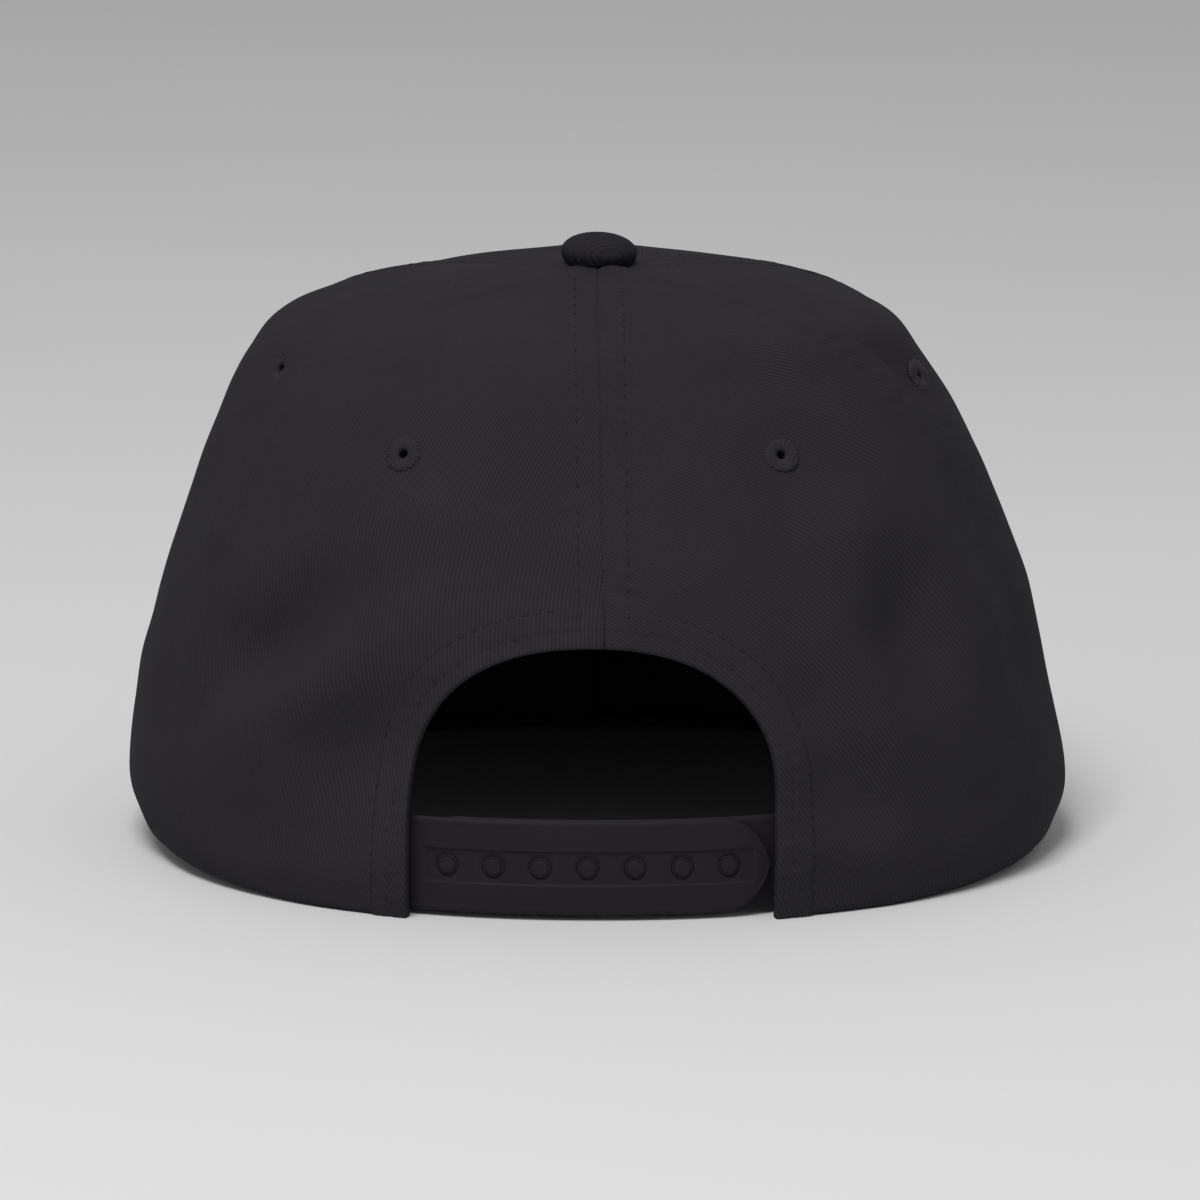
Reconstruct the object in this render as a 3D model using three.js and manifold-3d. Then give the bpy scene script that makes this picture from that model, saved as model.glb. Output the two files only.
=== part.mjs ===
// Snapback cap: a six-panel crown with a covered button and eyelets, a flat peak, and a
// two-part plastic snap strap across the arch at the back.
// Millimetres, +Z up. The peak points to -Y, the wearer's left is +X, and the cap stands on
// the two ends of its back hem and on the front edge of its peak.

import * as THREE from 'three';
import { mergeVertices } from 'three/addons/utils/BufferGeometryUtils.js';
import Module from 'manifold-3d';

// Crown sizes
const CROWN_HALF_WIDTH = 94;
const CROWN_BACK_REACH = 80;
const CROWN_FRONT_REACH = 84;
const CROWN_HEIGHT = 119.5;
const CROWN_SQUARENESS = 2.1;
const CLOTH_WALL = 2;
const SEAM_GAP = 0.3;

// Rim: the back stands flat on its hem, and the sides rise towards the root of the peak
const HEM_REST_DEPTH = 14;
const ROOT_RISE = 8.5;
const RIGHT_SAG = 1.6;
const PEAK_ROOT_ANGLE = 118;

// Arch over the strap
const ARCH_HALF_WIDTH = 36.5;
const ARCH_TOP = 55;
const ARCH_SPRING = 24;
const ARCH_SQUARENESS = 2.3;
const ARCH_OFFSET = 1.4;

// Covered button on the crown's top
const BUTTON_RADIUS = 7.9;
const BUTTON_HEIGHT = 6.4;
const BUTTON_LIP = 2.4;
const BUTTON_STEM_RADIUS = 2.2;
const BUTTON_STEM_LENGTH = 3.6;
const BUTTON_SEAT_GAP = 0.3;

// Sewn eyelets
const EYELET_RADIUS = 3.8;
const EYELET_HOLE_RADIUS = 1;
const EYELET_BARREL_RADIUS = 2;
const EYELET_THICKNESS = 0.8;
const EYELET_GAP = 0.3;

// Peak
const PEAK_REACH = 70;
const PEAK_FLARE = 9;
const PEAK_CORNER = 70;
const PEAK_SIDE_RUN = 50;
const PEAK_THICKNESS = 3;
const PEAK_EDGE_ROUND = 0.9;
const PEAK_GAP = 0.4;

// Strap
const STRAP_HEIGHT = 19;
const STRAP_LIFT = 1.2;
const STRAP_THICKNESS = 1.3;
const STRAP_GAP = 0.3;
const STRAP_CLOTH_CLEARANCE = 0.5;
const STRAP_TAB = 14;
const STRAP_TIP_LENGTH = 10.5;
const STRAP_TIP_BLUNT = 0.8;
const SNAP_COUNT = 7;
const SNAP_PITCH = 9.3;
const FIRST_SNAP = 30;
const SNAP_END_MARGIN = 8;
const SNAP_HOLE_RADIUS = 2.2;
const SNAP_PEG_RADIUS = 1.7;

// Steps of the faceted shapes
const PANEL_ROWS = 18;
const PANEL_COLUMNS = 8;
const ARCH_STEPS = 18;
const ROUND_SIDES = 20;
const EYELET_SIDES = 12;
const SNAP_SIDES = 12;
const STRAP_STEP = 4.5;
const TIP_STEPS = 5;
const PEAK_STEPS = 14;

// Sections of the crown, from rim to top: the height as a share of the crown's height, and the
// reach to each side as a share of the half width, the back reach and the front reach
const SECTIONS = [
  { height: 0.00, left: 1.008, right: 1.008, back: 1.000, front: 1.000 },
  { height: 0.10, left: 1.042, right: 1.038, back: 1.016, front: 1.002 },
  { height: 0.30, left: 1.010, right: 0.985, back: 1.010, front: 0.985 },
  { height: 0.46, left: 0.960, right: 0.940, back: 0.965, front: 0.955 },
  { height: 0.61, left: 0.900, right: 0.870, back: 0.890, front: 0.915 },
  { height: 0.74, left: 0.838, right: 0.792, back: 0.800, front: 0.850 },
  { height: 0.85, left: 0.768, right: 0.708, back: 0.715, front: 0.765 },
  { height: 0.93, left: 0.665, right: 0.613, back: 0.610, front: 0.680 },
  { height: 0.98, left: 0.385, right: 0.370, back: 0.360, front: 0.500 },
  { height: 1.00, left: 0.040, right: 0.040, back: 0.040, front: 0.040 },
];

// Seams at the same sections, in degrees from the centre of the back towards the wearer's left
const SEAM_ROWS = [
  { centreBack: -1.0, leftBack: 63.5, leftFront: 118, centreFront: 180, rightFront: 242, rightBack: 294.5 },
  { centreBack: -0.9, leftBack: 62.0, leftFront: 118, centreFront: 180, rightFront: 242, rightBack: 295.0 },
  { centreBack: -0.8, leftBack: 61.5, leftFront: 118, centreFront: 180, rightFront: 242, rightBack: 294.0 },
  { centreBack: -0.6, leftBack: 62.0, leftFront: 118, centreFront: 180, rightFront: 242, rightBack: 291.5 },
  { centreBack: -0.5, leftBack: 62.5, leftFront: 118, centreFront: 180, rightFront: 242, rightBack: 290.0 },
  { centreBack: -0.4, leftBack: 61.0, leftFront: 119, centreFront: 180, rightFront: 241, rightBack: 292.0 },
  { centreBack: -0.3, leftBack: 57.0, leftFront: 120, centreFront: 180, rightFront: 240, rightBack: 298.0 },
  { centreBack: -0.2, leftBack: 50.0, leftFront: 122, centreFront: 180, rightFront: 238, rightBack: 307.0 },
  { centreBack: -0.1, leftBack: 49.0, leftFront: 122, centreFront: 180, rightFront: 238, rightBack: 310.0 },
  { centreBack: 0.0, leftBack: 52.0, leftFront: 121, centreFront: 180, rightFront: 239, rightBack: 308.0 },
];

const PANELS = [
  { name: 'back_left', from: 'centreBack', to: 'leftBack', eyelet: { angle: 28.3, section: 5.1 } },
  { name: 'side_left', from: 'leftBack', to: 'leftFront', eyelet: { angle: 67, section: 6.1 } },
  { name: 'front_left', from: 'leftFront', to: 'centreFront', eyelet: { angle: 150, section: 5.5 } },
  { name: 'front_right', from: 'centreFront', to: 'rightFront', eyelet: { angle: 210, section: 5.5 } },
  { name: 'side_right', from: 'rightFront', to: 'rightBack', eyelet: { angle: 284, section: 5.8 } },
  { name: 'back_right', from: 'rightBack', to: 'centreBack', eyelet: { angle: 331.7, section: 5.1 } },
];

const FULL_TURN = 360;
const LAST_SECTION = SECTIONS.length - 1;
const Y_AXIS = new THREE.Vector3(0, 1, 0);
const Z_AXIS = new THREE.Vector3(0, 0, 1);

const wasm = await Module();
wasm.setup();

const cloth = { color: 0x2e2c2f, roughness: 0.9, metalness: 0 };
const thread = { color: 0x333135, roughness: 0.7, metalness: 0 };
const plastic = { color: 0x2a282b, roughness: 0.5, metalness: 0 };

function makeMesh(name, geometry, finish) {
  const mesh = new THREE.Mesh(geometry, new THREE.MeshStandardMaterial(finish));
  mesh.name = name;
  return mesh;
}

// Closed meshes and the solids that join and cut them

function toSolid(geometry) {
  const bare = geometry.clone();
  bare.deleteAttribute('normal');
  bare.deleteAttribute('uv');
  const merged = mergeVertices(bare, 1e-4);
  return new wasm.Manifold(new wasm.Mesh({
    numProp: 3,
    vertProperties: new Float32Array(merged.getAttribute('position').array),
    triVerts: new Uint32Array(merged.getIndex().array),
  }));
}

function toGeometry(solid) {
  const mesh = solid.getMesh();
  const geometry = new THREE.BufferGeometry();
  geometry.setAttribute('position', new THREE.BufferAttribute(new Float32Array(mesh.vertProperties), 3));
  geometry.setIndex(new THREE.BufferAttribute(new Uint32Array(mesh.triVerts), 1));
  geometry.computeVertexNormals();
  return geometry;
}

// Each ring runs along one face of a wall and back along the other
function loftWall(rings) {
  const count = rings[0].length;
  const last = (rings.length - 1) * count;
  const index = [];
  const addQuad = (a, b, c, d) => index.push(a, b, c, a, c, d);
  for (let ring = 0; ring < rings.length - 1; ring += 1) {
    const low = ring * count;
    const high = low + count;
    for (let point = 0; point < count; point += 1) {
      const next = (point + 1) % count;
      addQuad(low + point, high + point, high + next, low + next);
    }
  }
  for (let point = 0; point < count / 2 - 1; point += 1) {
    const across = count - 1 - point;
    addQuad(point, point + 1, across - 1, across);
    addQuad(last + point, last + across, last + across - 1, last + point + 1);
  }
  const geometry = new THREE.BufferGeometry();
  const positions = rings.flat().flatMap((point) => point.toArray());
  geometry.setAttribute('position', new THREE.Float32BufferAttribute(positions, 3));
  geometry.setIndex(index);
  geometry.computeVertexNormals();
  return geometry;
}

// Crown surface

function columnCurve(rows, column) {
  return new THREE.SplineCurve(rows.map((row, place) => new THREE.Vector2(SECTIONS[place].height, row[column])));
}

const sectionCurves = {
  left: columnCurve(SECTIONS, 'left'),
  right: columnCurve(SECTIONS, 'right'),
  back: columnCurve(SECTIONS, 'back'),
  front: columnCurve(SECTIONS, 'front'),
};

const seamCurves = Object.fromEntries(
  Object.keys(SEAM_ROWS[0]).map((seam) => [seam, columnCurve(SEAM_ROWS, seam)]),
);

function squared(value, squareness) {
  return Math.sign(value) * Math.abs(value) ** (2 / squareness);
}

function planDepth(angle) {
  const along = squared(Math.cos(angle), CROWN_SQUARENESS);
  return along * (along >= 0 ? CROWN_BACK_REACH : CROWN_FRONT_REACH);
}

const hemRestY = CROWN_BACK_REACH - HEM_REST_DEPTH;
const rootY = planDepth(THREE.MathUtils.degToRad(PEAK_ROOT_ANGLE));
const peakFrontY = -(CROWN_FRONT_REACH + PEAK_REACH);
const peakSlope = (ROOT_RISE - PEAK_GAP - PEAK_THICKNESS) / (rootY - peakFrontY);

function rimRise(angle) {
  const y = planDepth(angle);
  const sag = RIGHT_SAG * Math.max(0, -Math.sin(angle)) ** 4;
  if (y > hemRestY) {
    return 0;
  }
  if (y > rootY) {
    return (ROOT_RISE * (hemRestY - y)) / (hemRestY - rootY) - sag * ((y - rootY) / (hemRestY - rootY));
  }
  return ROOT_RISE - peakSlope * (rootY - y);
}

// Point of the crown's outer face, at an angle in radians and a share of the way up the sections
function crownPoint(angle, way) {
  const side = squared(Math.sin(angle), CROWN_SQUARENESS);
  const along = squared(Math.cos(angle), CROWN_SQUARENESS);
  const sideSection = sectionCurves[side >= 0 ? 'left' : 'right'].getPoint(way);
  const alongSection = sectionCurves[along >= 0 ? 'back' : 'front'].getPoint(way);
  const height = sideSection.x;
  return new THREE.Vector3(
    CROWN_HALF_WIDTH * sideSection.y * side,
    (along >= 0 ? CROWN_BACK_REACH : CROWN_FRONT_REACH) * alongSection.y * along,
    CROWN_HEIGHT * height + rimRise(angle) * (1 - height) ** 2,
  );
}

function crownSlopes(angle, way) {
  const step = 1e-3;
  const across = crownPoint(angle + step, way).sub(crownPoint(angle - step, way)).divideScalar(2 * step);
  const low = Math.max(0, way - step);
  const high = Math.min(1, way + step);
  const upward = crownPoint(angle, high).sub(crownPoint(angle, low)).divideScalar(high - low);
  const normal = upward.clone().cross(across).normalize();
  return { across, normal };
}

function crownInset(angle, way, depth) {
  return crownPoint(angle, way).addScaledVector(crownSlopes(angle, way).normal, -depth);
}

function seamAngle(seam, way, start) {
  const degrees = seamCurves[seam].getPoint(way).y;
  const turned = degrees < start ? degrees + FULL_TURN : degrees;
  return THREE.MathUtils.degToRad(turned);
}

function panelAngles(panel, way) {
  const from = seamAngle(panel.from, way, -FULL_TURN);
  const start = THREE.MathUtils.radToDeg(from);
  const to = seamAngle(panel.to, way, start);
  const fromTrim = SEAM_GAP / 2 / crownSlopes(from, way).across.length();
  const toTrim = SEAM_GAP / 2 / crownSlopes(to, way).across.length();
  return [from + fromTrim, to - toTrim];
}

function panelRing(panel, way) {
  const [from, to] = panelAngles(panel, way);
  const outer = [];
  const inner = [];
  for (let column = 0; column <= PANEL_COLUMNS; column += 1) {
    const angle = THREE.MathUtils.lerp(from, to, column / PANEL_COLUMNS);
    const face = crownPoint(angle, way);
    const back = crownInset(angle, way, CLOTH_WALL);
    if (way === 0) {
      back.z = face.z;
    }
    outer.push(face);
    inner.unshift(back);
  }
  return [...outer, ...inner];
}

// Solid that cuts the arch out of the two back panels
function archCutter() {
  const shape = new THREE.Shape();
  shape.moveTo(ARCH_OFFSET + ARCH_HALF_WIDTH, -CLOTH_WALL);
  for (let step = 0; step <= ARCH_STEPS; step += 1) {
    const angle = (Math.PI * step) / ARCH_STEPS;
    shape.lineTo(
      ARCH_OFFSET + ARCH_HALF_WIDTH * squared(Math.cos(angle), ARCH_SQUARENESS),
      ARCH_SPRING + (ARCH_TOP - ARCH_SPRING) * squared(Math.sin(angle), ARCH_SQUARENESS),
    );
  }
  shape.lineTo(ARCH_OFFSET - ARCH_HALF_WIDTH, -CLOTH_WALL);
  const geometry = new THREE.ExtrudeGeometry(shape, { depth: 2 * CROWN_BACK_REACH, bevelEnabled: false });
  geometry.rotateX(Math.PI / 2);
  geometry.translate(0, 2 * CROWN_BACK_REACH, 0);
  return toSolid(geometry);
}

function faceOutward(geometry, angle, way) {
  const { normal } = crownSlopes(angle, way);
  const turn = new THREE.Quaternion().setFromUnitVectors(Z_AXIS, normal);
  geometry.applyQuaternion(turn);
  geometry.translate(...crownPoint(angle, way).toArray());
  return geometry;
}

function eyeletPlace(panel) {
  return [THREE.MathUtils.degToRad(panel.eyelet.angle), panel.eyelet.section / LAST_SECTION];
}

function eyeletCutter(panel) {
  const radius = EYELET_BARREL_RADIUS + EYELET_GAP;
  const geometry = new THREE.CylinderGeometry(radius, radius, 4 * CLOTH_WALL, EYELET_SIDES);
  geometry.rotateX(Math.PI / 2);
  return toSolid(faceOutward(geometry, ...eyeletPlace(panel)));
}

// Ring that lies on the cloth, with a barrel through the hole
function makeEyelet(panel) {
  const profile = [
    [EYELET_HOLE_RADIUS, -CLOTH_WALL],
    [EYELET_BARREL_RADIUS, -CLOTH_WALL],
    [EYELET_BARREL_RADIUS, EYELET_GAP],
    [EYELET_RADIUS, EYELET_GAP],
    [(EYELET_RADIUS + EYELET_BARREL_RADIUS) / 2, EYELET_GAP + EYELET_THICKNESS],
    [EYELET_HOLE_RADIUS, EYELET_GAP + EYELET_THICKNESS / 2],
    [EYELET_HOLE_RADIUS, -CLOTH_WALL],
  ].map(([radius, height]) => new THREE.Vector2(radius, height));
  const geometry = new THREE.LatheGeometry(profile, EYELET_SIDES);
  geometry.rotateX(Math.PI / 2);
  return makeMesh(`eyelet_${panel.name}`, faceOutward(geometry, ...eyeletPlace(panel)), thread);
}

function makePanel(panel, arch) {
  const rings = [];
  for (let row = 0; row <= PANEL_ROWS; row += 1) {
    rings.push(panelRing(panel, row / PANEL_ROWS));
  }
  let solid = toSolid(loftWall(rings)).subtract(eyeletCutter(panel));
  if (panel.from === 'centreBack' || panel.to === 'centreBack') {
    solid = solid.subtract(arch);
  }
  return makeMesh(`crown_panel_${panel.name}`, toGeometry(solid), cloth);
}

function makeButton() {
  const dome = BUTTON_HEIGHT - BUTTON_LIP;
  const profile = [
    new THREE.Vector2(0, -BUTTON_STEM_LENGTH),
    new THREE.Vector2(BUTTON_STEM_RADIUS, -BUTTON_STEM_LENGTH),
    new THREE.Vector2(BUTTON_STEM_RADIUS, 0),
    new THREE.Vector2(BUTTON_RADIUS - BUTTON_LIP / 2, 0),
  ];
  for (let step = 0; step <= 5; step += 1) {
    const angle = (Math.PI / 2) * (step / 5);
    profile.push(new THREE.Vector2(BUTTON_RADIUS * Math.cos(angle), BUTTON_LIP + dome * Math.sin(angle)));
  }
  const geometry = new THREE.LatheGeometry(profile, ROUND_SIDES);
  geometry.rotateX(Math.PI / 2);
  const mesh = makeMesh('top_button', geometry, cloth);
  mesh.position.z = CROWN_HEIGHT + BUTTON_SEAT_GAP;
  return mesh;
}

// The peak's slab reaches under the crown's rim as far as the inner face of the cloth
function makePeak() {
  const shape = new THREE.Shape();
  const root = THREE.MathUtils.degToRad(PEAK_ROOT_ANGLE);
  const across = (angle) => crownInset(angle, 0, CLOTH_WALL + PEAK_EDGE_ROUND);
  const start = crownInset(root, 0, PEAK_EDGE_ROUND);
  const frontY = peakFrontY + PEAK_EDGE_ROUND;
  shape.moveTo(start.x, start.y);
  shape.bezierCurveTo(start.x + PEAK_FLARE, start.y - PEAK_SIDE_RUN, PEAK_CORNER, frontY, 0, frontY);
  shape.bezierCurveTo(-PEAK_CORNER, frontY, -start.x - PEAK_FLARE, start.y - PEAK_SIDE_RUN, -start.x, start.y);
  for (let step = 0; step <= 2 * PEAK_STEPS; step += 1) {
    const point = across(THREE.MathUtils.lerp(2 * Math.PI - root, root, step / (2 * PEAK_STEPS)));
    shape.lineTo(point.x, point.y);
  }
  const geometry = new THREE.ExtrudeGeometry(shape, {
    depth: PEAK_THICKNESS - 2 * PEAK_EDGE_ROUND,
    bevelThickness: PEAK_EDGE_ROUND,
    bevelSize: PEAK_EDGE_ROUND,
    bevelSegments: 2,
    curveSegments: PEAK_STEPS,
  });
  geometry.translate(0, -rootY, PEAK_EDGE_ROUND - PEAK_THICKNESS);
  const mesh = makeMesh('peak', geometry, cloth);
  mesh.rotation.x = Math.atan(peakSlope);
  mesh.position.set(0, rootY, ROOT_RISE - PEAK_GAP);
  return mesh;
}

// Line between the two straps, inside the crown's back, from the wearer's right to the left
class StrapLine extends THREE.Curve {
  constructor() {
    super();
    const inset = CLOTH_WALL + STRAP_CLOTH_CLEARANCE + STRAP_THICKNESS + STRAP_GAP / 2;
    this.halfWidth = CROWN_HALF_WIDTH * SECTIONS[0].right - inset;
    this.reach = CROWN_BACK_REACH * SECTIONS[0].back - inset;
    this.rightX = ARCH_OFFSET - ARCH_HALF_WIDTH - STRAP_TAB;
    this.leftX = ARCH_OFFSET + ARCH_HALF_WIDTH + STRAP_TAB;
    this.arcLengthDivisions = 400;
  }

  getPoint(share, target = new THREE.Vector3()) {
    const x = THREE.MathUtils.lerp(this.rightX, this.leftX, share);
    const fall = Math.abs(x / this.halfWidth) ** CROWN_SQUARENESS;
    return target.set(x, this.reach * (1 - fall) ** (1 / CROWN_SQUARENESS), 0);
  }

  // Distance along the line from the middle of the back to a place in x
  distanceTo(x) {
    const share = (place) => (place - this.rightX) / (this.leftX - this.rightX);
    const lengths = this.getLengths();
    const at = (place) => lengths[Math.round(share(place) * this.arcLengthDivisions)];
    return at(x) - at(0);
  }

  // Point at a distance from the middle, a height and a depth towards the outside
  place(distance, height, depth) {
    const share = (distance - this.distanceTo(this.rightX)) / this.getLength();
    const along = THREE.MathUtils.clamp(share, 0, 1);
    const outward = this.getTangentAt(along).applyAxisAngle(Z_AXIS, Math.PI / 2);
    return this.getPointAt(along).addScaledVector(outward, depth).setZ(height);
  }
}

const strapLine = new StrapLine();
const strapMiddle = STRAP_LIFT + STRAP_HEIGHT / 2;
const lastSnap = FIRST_SNAP - (SNAP_COUNT - 1) * SNAP_PITCH;

function strapRing(distance, half, near, far) {
  return [
    strapLine.place(distance, strapMiddle - half, far),
    strapLine.place(distance, strapMiddle + half, far),
    strapLine.place(distance, strapMiddle + half, near),
    strapLine.place(distance, strapMiddle - half, near),
  ];
}

// Strap from its sewn tab to a rounded tip
function strapBody(tab, tip, near, far) {
  const direction = Math.sign(tip - tab);
  const shoulder = tip - direction * STRAP_TIP_LENGTH;
  const steps = Math.ceil(Math.abs(shoulder - tab) / STRAP_STEP);
  const half = STRAP_HEIGHT / 2;
  const rings = [];
  for (let step = 0; step < steps; step += 1) {
    rings.push(strapRing(THREE.MathUtils.lerp(tab, shoulder, step / steps), half, near, far));
  }
  for (let step = 0; step <= TIP_STEPS; step += 1) {
    const angle = (Math.PI / 2) * (step / TIP_STEPS);
    const height = Math.max(STRAP_TIP_BLUNT, half * Math.cos(angle));
    rings.push(strapRing(shoulder + direction * STRAP_TIP_LENGTH * Math.sin(angle), height, near, far));
  }
  if (direction > 0) {
    rings.reverse();
  }
  return toSolid(loftWall(rings));
}

function snapCylinder(place, radius, near, far) {
  const geometry = new THREE.CylinderGeometry(radius, radius, far - near, SNAP_SIDES);
  const distance = FIRST_SNAP - place * SNAP_PITCH;
  const inner = strapLine.place(distance, strapMiddle, near);
  const outer = strapLine.place(distance, strapMiddle, far);
  const outward = outer.clone().sub(inner).normalize();
  geometry.applyQuaternion(new THREE.Quaternion().setFromUnitVectors(Y_AXIS, outward));
  geometry.translate(...inner.add(outer).divideScalar(2).toArray());
  return toSolid(geometry);
}

// Outer strap, sewn in on the wearer's left, with a row of holes
function makeHoleStrap() {
  const near = STRAP_GAP / 2;
  const far = near + STRAP_THICKNESS;
  const tab = strapLine.distanceTo(strapLine.leftX);
  let solid = strapBody(tab, lastSnap - SNAP_END_MARGIN, near, far);
  for (let place = 0; place < SNAP_COUNT; place += 1) {
    solid = solid.subtract(snapCylinder(place, SNAP_HOLE_RADIUS, near - STRAP_THICKNESS, far + STRAP_THICKNESS));
  }
  return makeMesh('strap_with_holes', toGeometry(solid), plastic);
}

// Inner strap, sewn in on the wearer's right, with pegs that stand in the holes
function makePegStrap() {
  const far = -STRAP_GAP / 2;
  const near = far - STRAP_THICKNESS;
  const pegEnd = STRAP_GAP / 2 + STRAP_THICKNESS;
  const tab = strapLine.distanceTo(strapLine.rightX);
  let solid = strapBody(tab, FIRST_SNAP + SNAP_END_MARGIN, near, far);
  for (let place = 0; place < SNAP_COUNT; place += 1) {
    solid = solid.add(snapCylinder(place, SNAP_PEG_RADIUS, (near + far) / 2, pegEnd));
  }
  return makeMesh('strap_with_pegs', toGeometry(solid), plastic);
}

const arch = archCutter();
const pieces = new THREE.Group();
for (const panel of PANELS) {
  pieces.add(makePanel(panel, arch));
}
for (const panel of PANELS) {
  pieces.add(makeEyelet(panel));
}
pieces.add(makeButton(), makePeak(), makeHoleStrap(), makePegStrap());

// The origin is below the middle of the cap, on the surface that it stands on
pieces.updateMatrixWorld(true);
const box = new THREE.Box3().setFromObject(pieces, true);
pieces.position.set(-(box.min.x + box.max.x) / 2, -(box.min.y + box.max.y) / 2, -box.min.z);

const cap = new THREE.Group();
cap.add(pieces);
cap.updateMatrixWorld(true);

export default cap;
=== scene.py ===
"""Looks of the snapback cap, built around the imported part.

Metres, +Z up. The peak points to -Y, the wearer's left is +X, and the photograph looks at the back.
"""

import logging
import math
from dataclasses import dataclass, field
from enum import Enum
from typing import Any

import bmesh
import bpy
import numpy as np
from mathutils import Matrix, Vector


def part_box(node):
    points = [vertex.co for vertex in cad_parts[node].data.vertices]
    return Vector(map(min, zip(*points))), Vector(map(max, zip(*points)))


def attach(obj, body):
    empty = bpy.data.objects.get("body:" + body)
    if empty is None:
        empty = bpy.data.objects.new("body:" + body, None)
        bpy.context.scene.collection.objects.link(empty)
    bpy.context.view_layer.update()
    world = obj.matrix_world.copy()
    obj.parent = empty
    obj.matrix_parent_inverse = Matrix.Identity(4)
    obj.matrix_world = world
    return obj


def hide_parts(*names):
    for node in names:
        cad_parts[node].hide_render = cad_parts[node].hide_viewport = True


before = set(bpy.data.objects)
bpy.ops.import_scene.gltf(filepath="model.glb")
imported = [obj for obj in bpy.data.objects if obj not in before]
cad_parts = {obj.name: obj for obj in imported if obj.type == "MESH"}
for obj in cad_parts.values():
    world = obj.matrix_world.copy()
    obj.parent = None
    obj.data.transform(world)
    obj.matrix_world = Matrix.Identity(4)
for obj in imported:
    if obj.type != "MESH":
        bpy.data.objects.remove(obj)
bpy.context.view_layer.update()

BODY = "root"
LOG = logging.getLogger("snapback_cap")
MM = 0.001
WELD = 1e-7
SEAM_PITCH = 2.65 * MM
FULL_TURN = 2 * math.pi
Points = np.ndarray


class Slot(Enum):
    """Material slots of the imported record."""

    TWILL = "twill_cloth"
    THREAD = "eyelet_thread"
    PLASTIC = "strap_plastic"


class Side(Enum):
    """Side of the cap, as the wearer has it."""

    LEFT = "left"
    RIGHT = "right"


# Shader values and finishes


class Wire:
    """A shader socket that takes part in Python expressions."""

    def __init__(self, finish: "NodeTree", socket: bpy.types.NodeSocket) -> None:
        """Keeps the node tree and the socket."""
        self.finish = finish
        self.socket = socket

    def _math(self, operation: str, first: Any, second: Any = 0.0) -> "Wire":
        """Adds one Math node.

        Args:
            operation: the Math node's operation.
            first: a number or a wire.
            second: a number or a wire.

        Returns:
            The wire of the node's value.
        """
        node = self.finish.add("ShaderNodeMath", {"operation": operation}, {0: first, 1: second})
        return Wire(self.finish, node.outputs[0])

    def __add__(self, other: Any) -> "Wire":
        """Returns self + other."""
        return self._math("ADD", self, other)

    def __radd__(self, other: Any) -> "Wire":
        """Returns other + self."""
        return self._math("ADD", other, self)

    def __sub__(self, other: Any) -> "Wire":
        """Returns self - other."""
        return self._math("SUBTRACT", self, other)

    def __rsub__(self, other: Any) -> "Wire":
        """Returns other - self."""
        return self._math("SUBTRACT", other, self)

    def __mul__(self, other: Any) -> "Wire":
        """Returns self * other."""
        return self._math("MULTIPLY", self, other)

    def __rmul__(self, other: Any) -> "Wire":
        """Returns other * self."""
        return self._math("MULTIPLY", other, self)

    def __truediv__(self, other: Any) -> "Wire":
        """Returns self / other."""
        return self._math("DIVIDE", self, other)

    def __pow__(self, other: Any) -> "Wire":
        """Returns self to a power."""
        return self._math("POWER", self, other)

    def sine(self) -> "Wire":
        """Returns the sine of the value."""
        return self._math("SINE", self)

    def clamped(self) -> "Wire":
        """Returns the value held between 0 and 1."""
        return self._math("MINIMUM", self._math("MAXIMUM", self, 0.0), 1.0)


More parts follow.
